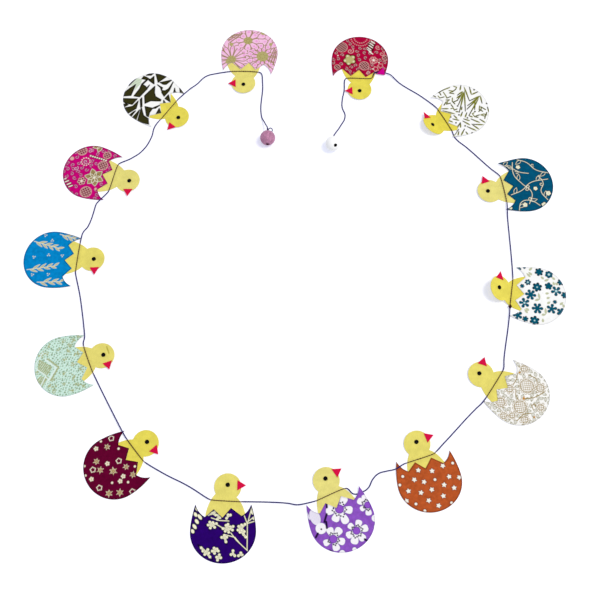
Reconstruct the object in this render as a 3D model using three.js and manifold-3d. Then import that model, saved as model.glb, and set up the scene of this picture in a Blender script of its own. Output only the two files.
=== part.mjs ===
// Paper chick garland: fourteen hatching chicks of cut paper sewn on one thread with a bead on each end.
// It lies flat in a loose ring. Millimetres, +Z up, the middle of the ring's underside at the origin.
import * as THREE from "three";
import { mergeVertices } from "three/addons/utils/BufferGeometryUtils.js";
import Module from "manifold-3d";

const wasm = await Module();
wasm.setup();

// Stock
const PAPER = 0.4; // thickness of every paper piece
const GLUE = 0.1; // film of paste between two pasted pieces
const THREAD = 0.9; // diameter of the sewing thread
const CLEAR = 0.1; // air between the thread and what it lies on

// Yellow chick, in a frame with the sewn line along X and the head up along +Y
const HEAD_RADIUS = 9.7;
const HEAD_X = 0.8;
const HEAD_Y = 10.6;
const NAPE_ANGLE = 212; // where the round of the head meets the back of the neck, degrees
const THROAT_ANGLE = -46; // where it meets the throat
const SHOULDER_BACK = 13.4; // half width of the body at the back, under the shoulder
const SHOULDER_FRONT = 15; // half width of the body at the breast
const SLOPE_BACK = 1.4; // how far the slope of the shoulder falls in at the sewn line, at the back
const SLOPE_FRONT = 2.5; // and at the breast
const SHOULDER_DROP = 9; // from the sewn line down to the widest part of the body
const BODY_DEPTH = 24; // from the sewn line down to the foot of the body, behind the shell

// Eggshell, in its own frame with the crack along X and the round end down
const SHELL_HALF_WIDTH = 23.3;
const SHELL_WIDEST = 16.7; // from the zero line down to the widest part
const SHELL_DEPTH = 38.6; // from the zero line down to the round end
const CRACK = {
  leftTip: [-20, 2.5],
  leftValley: [-13.1, -6.4],
  leftPeak: [-6.9, -0.9],
  middleValley: [-0.6, -6.8],
  rightPeak: [5.3, 0],
  rightValley: [12.9, -5.6],
  rightTip: [19.6, 2.5],
};
const TIP_HOLLOW = 1.6; // how far the inner edge of an outer tip is cut in from a straight line
const FOLD_ABOVE_VALLEY = 0.4; // a lifted tip bends this far above its valley
const FOLDED_TIP = 7.5; // length of the tip that is folded over the thread

// Beak and eye, placed from the middle of the head
const BEAK_BASE = 7.2;
const BEAK_LENGTH = 6.2;
const BEAK_INSET = 2.8; // how far the middle of the beak's base sits inside the round of the head
const BEAK_Y = 2;
const EYE_DIAMETER = 3.1;
const EYE_Y = 1.5;

// Beads
const BEAD_DIAMETER = 12;
const BEAD_BORE = 2.6;
const PINK_BEAD_AT = [-20.8, 113.6];
const PINK_BORE_DIRECTION = [0, -1, 0];
const WHITE_BEAD_AT = [31.2, 108.5];
const WHITE_BORE_DIRECTION = [0.33, -0.64, 0.7];

// The chicks in the thread's order: where the sewn line of each lies, and its turn in degrees
const SEWN_AT = {
  pink: [-40.5, 177.5],
  leaf: [-102.5, 142.5],
  magenta: [-141.5, 81.5],
  blue: [-165.5, 13],
  mint: [-153, -69.5],
  maroon: [-115.5, -139],
  purple: [-48, -175],
  lavender: [27, -170],
  orange: [92.5, -143.5],
  gold: [147.5, -87.5],
  flower: [166, -16.5],
  teal: [165, 70.5],
  olive: [122, 132.5],
  red: [54.5, 171.5],
};
const SEWN_TURN = {
  pink: 180, leaf: -127, magenta: -103, blue: -95, mint: -69, maroon: -50, purple: -3,
  lavender: 22, orange: 19, gold: 57, flower: 81, teal: 101, olive: 120, red: 180,
};

// Shift and turn of each eggshell on its chick
const SHELL_SHIFT = {
  pink: [-2, -2], leaf: [0.5, -1.5], magenta: [1.5, -3.5], blue: [4.5, -3.5], mint: [0.5, -1.5],
  maroon: [3, -1], purple: [-1, -4.5], lavender: [1, -3.5], orange: [1.5, -1.5], gold: [4, -4.5],
  flower: [1.5, -3], teal: [2.5, -2], olive: [3.5, -1], red: [2.5, -1.5],
};
const SHELL_TURN = {
  pink: -6, leaf: -3, magenta: -6, blue: -3, mint: -7, maroon: -9, purple: 3,
  lavender: -2, orange: -7, gold: -5, flower: -3, teal: -5, olive: -6, red: -9,
};

// Shift and turn of each beak from its usual place on the head
const BEAK_SHIFT = {
  pink: [-0.5, -1.5], leaf: [1, 0], magenta: [0.5, 0.5], blue: [0, 1], mint: [-0.5, 0.5],
  maroon: [-0.5, 0], purple: [0, -0.5], lavender: [0.5, 0.5], orange: [0.5, 0], gold: [0, 1],
  flower: [0, 0], teal: [0.5, -0.5], olive: [0, 0], red: [-1, -0.5],
};
const BEAK_TURN = {
  pink: 2, leaf: -5, magenta: 11, blue: 6, mint: -3, maroon: 1, purple: 2,
  lavender: 13, orange: 2, gold: 15, flower: 0, teal: 10, olive: 0, red: 2,
};

// Heads that bend up along a line above the sewn line, outer tips that stand up and the tip that is folded
const HEAD_BEND_HEIGHT = { flower: 0.8, olive: 8.5 };
const HEAD_BEND_ANGLE = { flower: 31, olive: 33 };
const RAISED_TIP = { lavender: "right", teal: "right", olive: "left" };
const RAISED_TIP_ANGLE = 13;
const FOLDED_TIP_ON = "red";

// Heights of the middle of the thread where it lies on the floor, over a chick or over the tip of a shell
const FLOOR = THREAD / 2 + CLEAR / 2;
const CHICK = PAPER + CLEAR + THREAD / 2;
const TIP = 2 * PAPER + GLUE + CLEAR + THREAD / 2;
const BEAD = BEAD_DIAMETER / 2;

// Route of the thread from the pink bead to the white one
const THREAD_ROUTE = [
  [-20.8, 113.6, BEAD], [-20.8, 121.5, BEAD], [-23.2, 128.5, 3], [-26.2, 136.5, FLOOR], [-25.7, 168, FLOOR],
  [-27.4, 176.5, CHICK], [-49.5, 178, CHICK], [-64, 176, FLOOR], [-72, 173.5, FLOOR], [-79.5, 166, FLOOR],
  [-84.8, 161, TIP], [-94.5, 151, TIP], [-106.5, 134.7, CHICK], [-112, 127, FLOOR], [-114.5, 116.7, FLOOR],
  [-121, 105, FLOOR], [-129, 98.5, FLOOR], [-139.5, 92.5, CHICK], [-145.8, 68.5, TIP], [-154.5, 58, TIP],
  [-160, 39, FLOOR], [-163.5, 33, TIP], [-165.2, 22.5, TIP], [-167, 0, CHICK], [-162, -20.5, FLOOR],
  [-156.4, -52, TIP], [-157, -57.5, TIP], [-149.5, -77.5, CHICK], [-142, -92, FLOOR], [-126.5, -120, TIP],
  [-121.5, -128.5, TIP], [-107.5, -146, CHICK], [-92.5, -155, FLOOR], [-75.5, -163.5, FLOOR],
  [-59, -173.5, CHICK], [-37.5, -175, CHICK], [-4.5, -176, FLOOR], [3.5, -177.3, TIP], [16.5, -174.5, TIP],
  [38, -165.5, CHICK], [43.5, -169.5, FLOOR], [49.5, -168, FLOOR], [53.5, -165.5, FLOOR],
  [57.5, -158.5, FLOOR], [61.5, -154.8, FLOOR], [67, -153.3, TIP], [73.5, -151.8, TIP], [80, -148, TIP],
  [101.5, -140.5, CHICK], [109.5, -132.5, FLOOR], [134, -107, FLOOR], [138.5, -103, TIP], [143.5, -96.5, TIP],
  [156, -77, CHICK], [157, -69, FLOOR], [162.2, -41, FLOOR], [163.1, -35, TIP], [164, -28, TIP],
  [167.7, -6, CHICK], [168, 5, FLOOR], [167.2, 46, FLOOR], [167.2, 51, TIP], [167.3, 60, TIP],
  [163.5, 82, CHICK], [156, 89.5, FLOOR], [139, 107.3, FLOOR], [130, 116, FLOOR], [128.5, 119, FLOOR],
  [127.3, 122.8, CHICK], [116, 143.5, CHICK], [104.5, 154, FLOOR], [87, 166.6, FLOOR], [78.5, 174.8, TIP],
  [67, 176.6, TIP], [63.5, 171.5, CHICK], [42.5, 171, CHICK], [41, 159.5, FLOOR], [39.5, 151.7, FLOOR],
  [39.2, 145, FLOOR], [41.5, 136, FLOOR], [37.5, 127, FLOOR], [32.5, 119, 0.8], [29.4, 112.6, 1.8],
  [30.2, 110.4, 3.9],
];

// Paper colours, bead colours and the thread
const PRINT_COLOUR = {
  pink: 0xeda4da, leaf: 0x4b4620, magenta: 0xdd0a86, blue: 0x0a8fd2, mint: 0xc0e2cf,
  maroon: 0x6e0a35, purple: 0x320878, lavender: 0xa365cc, orange: 0xc85a26, gold: 0xe9dcc0,
  flower: 0xdfe8e6, teal: 0x0b6488, olive: 0xdcdcc0, red: 0xc80f3c,
};
const YELLOW = 0xe8da70;
const BEAK_RED = 0xdf1f50;
const EYE_BLACK = 0x0d0c0f;
const BEAD_PINK = 0xc98aa8;
const BEAD_WHITE = 0xf1f1ee;
const THREAD_VIOLET = 0x5b5796;

const PAPER_ROUGHNESS = 0.85;
const CURVE_STEPS = 7; // straight steps in each curve of a paper outline
const REACH = 4 * (SHELL_DEPTH + BODY_DEPTH); // longer than any paper piece

const radians = THREE.MathUtils.degToRad;

function material(color, roughness = PAPER_ROUGHNESS) {
  return new THREE.MeshStandardMaterial({ color, roughness, metalness: 0 });
}

function piece(name, geometry, color, roughness) {
  const mesh = new THREE.Mesh(geometry, material(color, roughness));
  mesh.name = name;
  return mesh;
}

// Solids for joining and cutting
function toSolid(geometry) {
  const bare = geometry.clone();
  bare.deleteAttribute("normal");
  bare.deleteAttribute("uv");
  const merged = mergeVertices(bare, 1e-4);
  const vertProperties = Float32Array.from(merged.attributes.position.array);
  const triVerts = Uint32Array.from(merged.index.array);
  return new wasm.Manifold(new wasm.Mesh({ numProp: 3, vertProperties, triVerts }));
}

function toGeometry(solid) {
  const mesh = solid.getMesh();
  const geometry = new THREE.BufferGeometry();
  geometry.setAttribute("position", new THREE.BufferAttribute(mesh.vertProperties, 3));
  geometry.setIndex(new THREE.BufferAttribute(mesh.triVerts, 1));
  geometry.computeVertexNormals();
  return geometry;
}

// A flat sheet cut to an outline, lying at a height
function sheet(outline, height, thickness = PAPER) {
  const geometry = new THREE.ExtrudeGeometry(outline, {
    depth: thickness,
    bevelEnabled: false,
    curveSegments: CURVE_STEPS,
  });
  return geometry.translate(0, 0, height);
}

// A box between two X values and two Y values, through all heights or between two of them
function block(fromX, toX, fromY, toY, fromZ = -REACH, toZ = REACH) {
  const box = new THREE.BoxGeometry(toX - fromX, toY - fromY, toZ - fromZ);
  return box.translate((fromX + toX) / 2, (fromY + toY) / 2, (fromZ + toZ) / 2);
}

// A turn about a line along X at a given Y and height
function turnAboutLine(y, z, angle) {
  const there = new THREE.Matrix4().makeTranslation(0, y, z);
  const turn = new THREE.Matrix4().makeRotationX(angle);
  const back = new THREE.Matrix4().makeTranslation(0, -y, -z);
  return there.multiply(turn).multiply(back);
}

// Bends up what lies past a fold line between two X values, about the underside of the sheet
function bendUp(geometry, underside, foldY, fromX, toX, degrees) {
  const cutter = toSolid(block(fromX, toX, foldY, foldY + REACH));
  const flat = toSolid(geometry).subtract(cutter);
  const flap = toGeometry(toSolid(geometry).intersect(cutter));
  flap.applyMatrix4(turnAboutLine(foldY, underside, radians(degrees)));
  return toGeometry(flat.add(toSolid(flap)));
}

// Outline of the yellow chick: round head, neck, sloping shoulders and a round foot hidden behind the shell
function chickOutline() {
  const nape = radians(NAPE_ANGLE);
  const throat = radians(THROAT_ANGLE);
  const napeX = HEAD_X + HEAD_RADIUS * Math.cos(nape);
  const napeY = HEAD_Y + HEAD_RADIUS * Math.sin(nape);
  const middle = (SHOULDER_FRONT - SHOULDER_BACK) / 2;
  const halfWidth = (SHOULDER_FRONT + SHOULDER_BACK) / 2;
  const outline = new THREE.Shape();
  outline.moveTo(napeX, napeY);
  outline.absarc(HEAD_X, HEAD_Y, HEAD_RADIUS, nape, throat, true);
  outline.quadraticCurveTo(SHOULDER_FRONT - SLOPE_FRONT, 0, SHOULDER_FRONT, -SHOULDER_DROP);
  outline.absellipse(middle, -SHOULDER_DROP, halfWidth, BODY_DEPTH - SHOULDER_DROP, 0, -Math.PI, true);
  outline.quadraticCurveTo(SLOPE_BACK - SHOULDER_BACK, 0, napeX, napeY);
  return outline;
}

// Outline of the eggshell: a zigzag crack between two high tips, and a round end
function shellOutline() {
  const { leftTip, leftValley, leftPeak, middleValley, rightPeak, rightValley, rightTip } = CRACK;
  const hollow = (tip, valley) => [
    (tip[0] + valley[0]) / 2 - Math.sign(valley[0] - tip[0]) * TIP_HOLLOW,
    (tip[1] + valley[1]) / 2 - TIP_HOLLOW,
  ];
  const outline = new THREE.Shape();
  outline.moveTo(...leftTip);
  outline.quadraticCurveTo(...hollow(leftTip, leftValley), ...leftValley);
  outline.lineTo(...leftPeak);
  outline.lineTo(...middleValley);
  outline.lineTo(...rightPeak);
  outline.lineTo(...rightValley);
  outline.quadraticCurveTo(...hollow(rightTip, rightValley), ...rightTip);
  outline.quadraticCurveTo(SHELL_HALF_WIDTH, -SHELL_WIDEST / 2, SHELL_HALF_WIDTH, -SHELL_WIDEST);
  outline.absellipse(0, -SHELL_WIDEST, SHELL_HALF_WIDTH, SHELL_DEPTH - SHELL_WIDEST, 0, -Math.PI, true);
  outline.quadraticCurveTo(-SHELL_HALF_WIDTH, -SHELL_WIDEST / 2, ...leftTip);
  return outline;
}

const SHELL_UNDERSIDE = PAPER + GLUE;

// The eggshell with its left tip folded forward, the thread lying inside the fold
function foldedShell() {
  const room = THREAD + 2 * CLEAR + GLUE;
  const foldY = CRACK.leftTip[1] - FOLDED_TIP;
  const edgeX = CRACK.leftValley[0];
  const top = SHELL_UNDERSIDE + PAPER;
  const flat = toSolid(sheet(shellOutline(), SHELL_UNDERSIDE));
  const tall = toSolid(sheet(shellOutline(), SHELL_UNDERSIDE, 2 * PAPER + room));
  const tipBox = toSolid(block(-REACH, edgeX, foldY, foldY + REACH));
  const wallBox = toSolid(block(-REACH, edgeX, foldY - PAPER / 2, foldY + PAPER / 2));
  const flap = toGeometry(flat.intersect(tipBox));
  flap.applyMatrix4(turnAboutLine(foldY, top + room / 2, Math.PI));
  const body = flat.subtract(tipBox).add(tall.intersect(wallBox));
  return toGeometry(body.add(toSolid(flap)));
}

function shellGeometry(name) {
  if (name === FOLDED_TIP_ON) return foldedShell();
  const flat = sheet(shellOutline(), SHELL_UNDERSIDE);
  if (!(name in RAISED_TIP)) return flat;
  const onLeft = RAISED_TIP[name] === "left";
  const valley = onLeft ? CRACK.leftValley : CRACK.rightValley;
  const fromX = onLeft ? -REACH : valley[0];
  const toX = onLeft ? valley[0] : REACH;
  return bendUp(flat, SHELL_UNDERSIDE, valley[1] + FOLD_ABOVE_VALLEY, fromX, toX, RAISED_TIP_ANGLE);
}

function chickGeometry(name) {
  const flat = sheet(chickOutline(), 0);
  if (!(name in HEAD_BEND_ANGLE)) return flat;
  return bendUp(flat, 0, HEAD_BEND_HEIGHT[name], -REACH, REACH, HEAD_BEND_ANGLE[name]);
}

function beakGeometry() {
  const outline = new THREE.Shape();
  outline.moveTo(0, -BEAK_BASE / 2);
  outline.lineTo(BEAK_LENGTH, 0);
  outline.lineTo(0, BEAK_BASE / 2);
  outline.closePath();
  return sheet(outline, 0);
}

function eyeGeometry() {
  const dot = new THREE.CylinderGeometry(EYE_DIAMETER / 2, EYE_DIAMETER / 2, PAPER, 16);
  return dot.rotateX(Math.PI / 2).translate(0, 0, PAPER / 2);
}

// Beak and eye, pasted on the head and following its bend
function face(name) {
  const hinge = HEAD_BEND_HEIGHT[name] ?? 0;
  const group = new THREE.Group();
  group.position.y = hinge;
  group.rotation.x = radians(HEAD_BEND_ANGLE[name] ?? 0);

  const beakPiece = piece(`beak_${name}`, beakGeometry(), BEAK_RED);
  const [shift, rise] = BEAK_SHIFT[name];
  const beakX = HEAD_X + HEAD_RADIUS - BEAK_INSET + shift;
  beakPiece.position.set(beakX, HEAD_Y + BEAK_Y + rise - hinge, PAPER + GLUE);
  beakPiece.rotation.z = radians(BEAK_TURN[name]);

  const eyePiece = piece(`eye_${name}`, eyeGeometry(), EYE_BLACK);
  eyePiece.position.set(HEAD_X, HEAD_Y + EYE_Y - hinge, PAPER + GLUE);

  group.add(beakPiece, eyePiece);
  return group;
}

function hatchingChick(name) {
  const group = new THREE.Group();
  group.position.set(...SEWN_AT[name], 0);
  group.rotation.z = radians(SEWN_TURN[name]);

  const shell = piece(`shell_${name}`, shellGeometry(name), PRINT_COLOUR[name]);
  shell.position.set(...SHELL_SHIFT[name], 0);
  shell.rotation.z = radians(SHELL_TURN[name]);

  group.add(piece(`chick_${name}`, chickGeometry(name), YELLOW), shell, face(name));
  return group;
}

// A round bead bored through, its bore along Y before it is turned
function beadGeometry() {
  const radius = BEAD_DIAMETER / 2;
  const bore = BEAD_BORE / 2;
  const start = Math.asin(bore / radius);
  const steps = 14;
  const profile = [];
  for (let i = 0; i <= steps; i += 1) {
    const angle = Math.PI - start - (i / steps) * (Math.PI - 2 * start);
    profile.push(new THREE.Vector2(radius * Math.sin(angle), radius * Math.cos(angle)));
  }
  profile.push(profile[0].clone());
  return new THREE.LatheGeometry(profile, 20);
}

function bead(name, at, direction, color, roughness) {
  const mesh = piece(name, beadGeometry(), color, roughness);
  mesh.position.set(...at, BEAD_DIAMETER / 2);
  const along = new THREE.Vector3(...direction).normalize();
  mesh.quaternion.setFromUnitVectors(new THREE.Vector3(0, 1, 0), along);
  return mesh;
}

// The thread's rings sit exactly on the points of its route
class RouteCurve extends THREE.CatmullRomCurve3 {
  getUtoTmapping(u) {
    return u;
  }
}

function threadGeometry() {
  const section = new THREE.Shape();
  const sides = 8;
  for (let i = 0; i < sides; i += 1) {
    const angle = (2 * Math.PI * i) / sides;
    const x = (THREAD / 2) * Math.cos(angle);
    const y = (THREAD / 2) * Math.sin(angle);
    if (i === 0) section.moveTo(x, y);
    else section.lineTo(x, y);
  }
  section.closePath();
  const points = THREAD_ROUTE.map((point) => new THREE.Vector3(...point));
  return new THREE.ExtrudeGeometry(section, {
    steps: points.length - 1,
    extrudePath: new RouteCurve(points, false, "centripetal"),
    bevelEnabled: false,
  });
}

const garland = new THREE.Group();
garland.name = "paper_chick_garland";
Object.keys(SEWN_AT).forEach((name) => garland.add(hatchingChick(name)));
garland.add(piece("thread", threadGeometry(), THREAD_VIOLET, 0.9));
garland.add(bead("bead_pink", PINK_BEAD_AT, PINK_BORE_DIRECTION, BEAD_PINK, 0.7));
garland.add(bead("bead_white", WHITE_BEAD_AT, WHITE_BORE_DIRECTION, BEAD_WHITE, 0.25));

export default garland;
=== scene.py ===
# %% [markdown]
# # A garland of paper chicks
# Fourteen chicks of yellow card hatch from eggshells cut out of printed paper. One sewing thread runs
# through them all, from a pink bead to a white one, and the whole string lies on a table in a loose ring.
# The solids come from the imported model, and every piece made here lies where its solid lies.

# %% The frame
import math

import bmesh
import bpy
import numpy as np
from mathutils import Matrix, Vector
from mathutils.kdtree import KDTree


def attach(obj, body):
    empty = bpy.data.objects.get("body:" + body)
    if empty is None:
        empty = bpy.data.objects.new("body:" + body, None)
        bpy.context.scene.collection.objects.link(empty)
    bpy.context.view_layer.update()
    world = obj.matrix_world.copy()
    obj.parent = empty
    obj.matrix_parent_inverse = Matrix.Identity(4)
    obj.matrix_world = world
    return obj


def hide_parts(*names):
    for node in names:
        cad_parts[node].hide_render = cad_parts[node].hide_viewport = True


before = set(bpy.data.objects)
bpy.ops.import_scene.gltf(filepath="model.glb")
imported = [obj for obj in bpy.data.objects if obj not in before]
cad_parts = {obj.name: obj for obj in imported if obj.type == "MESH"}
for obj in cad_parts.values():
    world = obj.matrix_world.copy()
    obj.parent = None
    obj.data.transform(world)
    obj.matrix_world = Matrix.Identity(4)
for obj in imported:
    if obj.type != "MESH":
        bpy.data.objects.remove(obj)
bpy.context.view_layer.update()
MM = 0.001  # sizes below are in millimetres, apart from those marked as metres
print("solids in the frame:", len(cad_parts))

# %% [markdown]
# ## Camera
# The picture looks down on the table from the front, well above it, so the far side of the ring is a
# little smaller than the near side. A camera could be aimed by eye, but the tilt, the distance and the
# focal length belong together, so they are written down as one set. The focal length is in pixels of a
# picture that is 600 pixels wide.

# %% Camera
PICTURE_WIDTH = 600
FOCAL_PIXELS = 1088
CAMERA_TILT = 69.9  # degrees above the table
CAMERA_DISTANCE = 827
CAMERA_AIM = Vector((5, -22, 0))
SENSOR = 36  # width of the camera's own picture

tilt = math.radians(CAMERA_TILT)
stand = CAMERA_AIM + CAMERA_DISTANCE * Vector((0, -math.cos(tilt), math.sin(tilt)))
bpy.ops.object.camera_add(location=stand * MM, rotation=(math.pi / 2 - tilt, 0, 0))
camera = bpy.context.object
camera.data.sensor_width = SENSOR
camera.data.lens = SENSOR * FOCAL_PIXELS / PICTURE_WIDTH
bpy.context.scene.camera = camera
print("camera stands at", [round(v) for v in stand], "mm")

# %% [markdown]
# ## Where the chicks lie
# Each chick has a frame of its own: the sewn line runs along X and the head points up along Y. The places
# and turns are the ones that the solids were laid with. A turn and a shift make one matrix, and a point of
# any piece then goes through that matrix to its place on the table.

# %% Places
PAPER = 0.4  # thickness of every sheet
PASTE = 0.1  # thickness of the paste between two sheets
SEWN_AT = {  # middle of each sewn line, in the thread's order
    "pink": (-40.5, 177.5), "leaf": (-102.5, 142.5), "magenta": (-141.5, 81.5), "blue": (-165.5, 13),
    "mint": (-153, -69.5), "maroon": (-115.5, -139), "purple": (-48, -175), "lavender": (27, -170),
    "orange": (92.5, -143.5), "gold": (147.5, -87.5), "flower": (166, -16.5), "teal": (165, 70.5),
    "olive": (122, 132.5), "red": (54.5, 171.5),
}
SEWN_TURN = {  # degrees
    "pink": 180, "leaf": -127, "magenta": -103, "blue": -95, "mint": -69, "maroon": -50, "purple": -3,
    "lavender": 22, "orange": 19, "gold": 57, "flower": 81, "teal": 101, "olive": 120, "red": 180,
}
CHICKS = list(SEWN_AT)


def laid(shift, turn):
    """The matrix that turns about Z and then shifts, in millimetres."""
    return Matrix.Translation((*shift, 0)) @ Matrix.Rotation(math.radians(turn), 4, "Z")


def chick_frame(name):
    """The matrix from a chick's own frame to the table."""
    return laid(SEWN_AT[name], SEWN_TURN[name])


print("chicks:", ", ".join(CHICKS))

# %% [markdown]
# ## Thread
# The thread is sewn through every chick and lies slack between them, so its way round the ring is a list
# of points picked along it. One smooth curve through them all would round off the corners at the chicks,
# so each point also says how far its bend reaches, and the bends are tighter where the thread is sewn.

# %% The way of the thread
THREAD = 0.9  # thickness
FLOOR, CHICK, TIP, BEAD = 0.5, 0.95, 1.45, 6  # heights of its middle on table, chick, shell and bead
ROUTE = [
    (-20.8, 113.6, BEAD), (-20.8, 121.5, BEAD), (-23.2, 128.5, 3), (-26.2, 136.5, FLOOR),
    (-25.7, 168, FLOOR), (-27.4, 176.5, CHICK), (-49.5, 178, CHICK), (-64, 176, FLOOR), (-72, 173.5, FLOOR),
    (-79.5, 166, FLOOR), (-84.8, 161, TIP), (-94.5, 151, TIP), (-106.5, 134.7, CHICK), (-112, 127, FLOOR),
    (-114.5, 116.7, FLOOR), (-121, 105, FLOOR), (-129, 98.5, FLOOR), (-139.5, 92.5, CHICK),
    (-145.8, 68.5, TIP), (-154.5, 58, TIP), (-160, 39, FLOOR), (-163.5, 33, TIP), (-165.2, 22.5, TIP),
    (-167, 0, CHICK), (-162, -20.5, FLOOR), (-156.4, -52, TIP), (-157, -57.5, TIP), (-149.5, -77.5, CHICK),
    (-142, -92, FLOOR), (-126.5, -120, TIP), (-121.5, -128.5, TIP), (-107.5, -146, CHICK),
    (-92.5, -155, FLOOR), (-75.5, -163.5, FLOOR), (-59, -173.5, CHICK), (-37.5, -175, CHICK),
    (-4.5, -176, FLOOR), (3.5, -177.3, TIP), (16.5, -174.5, TIP), (38, -165.5, CHICK),
    (43.5, -169.5, FLOOR), (49.5, -168, FLOOR), (53.5, -165.5, FLOOR), (57.5, -158.5, FLOOR),
    (61.5, -154.8, FLOOR), (67, -153.3, TIP), (73.5, -151.8, TIP), (80, -148, TIP), (101.5, -140.5, CHICK),
    (109.5, -132.5, FLOOR), (134, -107, FLOOR), (138.5, -103, TIP), (143.5, -96.5, TIP), (156, -77, CHICK),
    (157, -69, FLOOR), (162.2, -41, FLOOR), (163.1, -35, TIP), (164, -28, TIP), (167.7, -6, CHICK),
    (168, 5, FLOOR), (167.2, 46, FLOOR), (167.2, 51, TIP), (167.3, 60, TIP), (163.5, 82, CHICK),
    (156, 89.5, FLOOR), (139, 107.3, FLOOR), (130, 116, FLOOR), (128.5, 119, FLOOR), (127.3, 122.8, CHICK),
    (116, 143.5, CHICK), (104.5, 154, FLOOR), (87, 166.6, FLOOR), (78.5, 174.8, TIP), (67, 176.6, TIP),
    (63.5, 171.5, CHICK), (42.5, 171, CHICK), (41, 159.5, FLOOR), (39.5, 151.7, FLOOR), (39.2, 145, FLOOR),
    (41.5, 136, FLOOR), (37.5, 127, FLOOR), (32.5, 119, 0.8), (29.4, 112.6, 1.8), (30.2, 110.4, 3.9),
]
THREAD_STEP = 0.32
SEWN_CORNER, SLACK_CORNER = 2.6, 12  # how far a bend reaches where it is sewn and where it lies slack
FINE_STEPS = 120  # steps from one point of a route to the next, before they are made even
LONGEST_BEND = 0.4  # share of a stretch that the bend at its end may take
print("points on the thread's way:", len(ROUTE))

# %% A soft curve
def soft_curve(points, step, corners=SLACK_CORNER):
    """Points an even step apart on a curve through the given ones.

    Corners say how far each bend reaches.
    """
    points = np.array(points, float)
    runs = np.diff(points, axis=0)
    gaps = np.linalg.norm(runs, axis=1)
    heading = runs / gaps[:, None]
    lean = np.vstack([heading[:1], heading[:-1] + heading[1:], heading[-1:]])
    lean /= np.linalg.norm(lean, axis=1)[:, None]
    reach = np.broadcast_to(corners, len(points))
    u = np.linspace(0, 1, FINE_STEPS, endpoint=False)[:, None]
    stretches = []
    for i, gap in enumerate(gaps):
        start, end = points[i], points[i + 1]
        away = start + lean[i] * min(LONGEST_BEND * gap, reach[i])
        towards = end - lean[i + 1] * min(LONGEST_BEND * gap, reach[i + 1])
        stretch = (1 - u) ** 3 * start + 3 * u * (1 - u) ** 2 * away
        stretches.append(stretch + 3 * u * u * (1 - u) * towards + u ** 3 * end)
    fine = np.vstack(stretches + [points[-1:]])
    run = np.concatenate([[0], np.cumsum(np.linalg.norm(np.diff(fine, axis=0), axis=1))])
    even = np.arange(0, run[-1], step)
    return np.column_stack([np.interp(even, run, fine[:, axis]) for axis in range(3)])


corners = [SEWN_CORNER if height in (CHICK, TIP) else SLACK_CORNER for _, _, height in ROUTE]
way = soft_curve(ROUTE, THREAD_STEP, corners)
print("thread:", round(len(way) * THREAD_STEP), "mm")

# %% [markdown]
# ## Stitches
# On a chick the needle pulled the thread down at every hole. There it dips and thins once a stitch, and
# all along the stitches it is thinner than where it lies slack. Each hole could be placed by hand, but a
# wave along the chick's own X axis gives them all, evenly spaced, whichever way the chick lies.

# %% Stitches
STITCH = 1.8  # from hole to hole
STITCH_DIP = 0.3
STITCH_SHARPNESS = 4  # power of the wave, so the dips are short
STITCH_PINCH = 0.3  # how much thinner the thread is at a hole
SEWN_SLIM = 0.16  # how much thinner it is all along the stitches
SLACK_SWELL = 0.08  # how much thicker it is where nothing pulls it tight
EASE_STEPS = 9  # steps of the thread over which one turns into the other
SEWN_FROM, SEWN_TO, SEWN_BAND = -11.5, 12, 2  # the part of a chick that carries stitches

held, pulled = np.zeros(len(way)), np.zeros(len(way))
for name in CHICKS:
    local = np.array([chick_frame(name).inverted() @ Vector(point) for point in way])
    sewn = (local[:, 0] > SEWN_FROM) & (local[:, 0] < SEWN_TO) & (abs(local[:, 1]) < SEWN_BAND)
    held[sewn] = 1
    pulled[sewn] = np.cos(math.pi * local[sewn, 0] / STITCH) ** STITCH_SHARPNESS
held = np.convolve(held, np.ones(EASE_STEPS) / EASE_STEPS, "same")
thickness = (1 + SLACK_SWELL) * (1 - held) + (1 - SEWN_SLIM) * held - STITCH_PINCH * pulled
way[:, 2] = np.maximum(way[:, 2], THREAD / 2 * thickness)
stitched = way - np.outer(STITCH_DIP * pulled, (0, 0, 1))
print("sewn:", round(held.sum() * THREAD_STEP), "mm of the thread")

# %% [markdown]
# ## Three plies
# Seen close, sewing thread is three yarns wound round each other. A curve in Blender can carry any outline
# along it, so a round with three shallow grooves is the outline, and a tilt that grows along the curve
# winds the grooves round the thread. Three separate tubes would also do, but the yarns of a tight thread
# lie so close that only the grooves are left. The mesh also keeps a mark of where it is sewn down, because
# the thread is painted browner there: painted shade from the card, with the card's yellow reflected in it.

# %% Thread, wound from three plies
PLIES = 3
PLY_TURN = 3.2  # length of one full turn of the plies
GROOVE = 0.1  # depth of a groove as a share of the thread's radius
OUTLINE_POINTS = 15


def alone(piece):
    """Makes one object the only selected one."""
    bpy.ops.object.select_all(action="DESELECT")
    piece.select_set(True)
    bpy.context.view_layer.objects.active = piece


def drawn(name, path, closed=False):
    """A curve of straight steps along a path in millimetres."""
    data = bpy.data.curves.new(name, "CURVE")
    data.dimensions = "3D"
    spline = data.splines.new("POLY")
    spline.points.add(len(path) - 1)
    spline.points.foreach_set("co", np.column_stack([path * MM, np.ones(len(path))]).ravel())
    spline.use_cyclic_u = closed
    curve = bpy.data.objects.new(name, data)
    bpy.context.collection.objects.link(curve)
    return curve


def to_mesh(curve):
    """Turns a curve into a smooth mesh."""
    alone(curve)
    bpy.ops.object.convert(target="MESH")
    bpy.ops.object.shade_smooth()
    return curve


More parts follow.
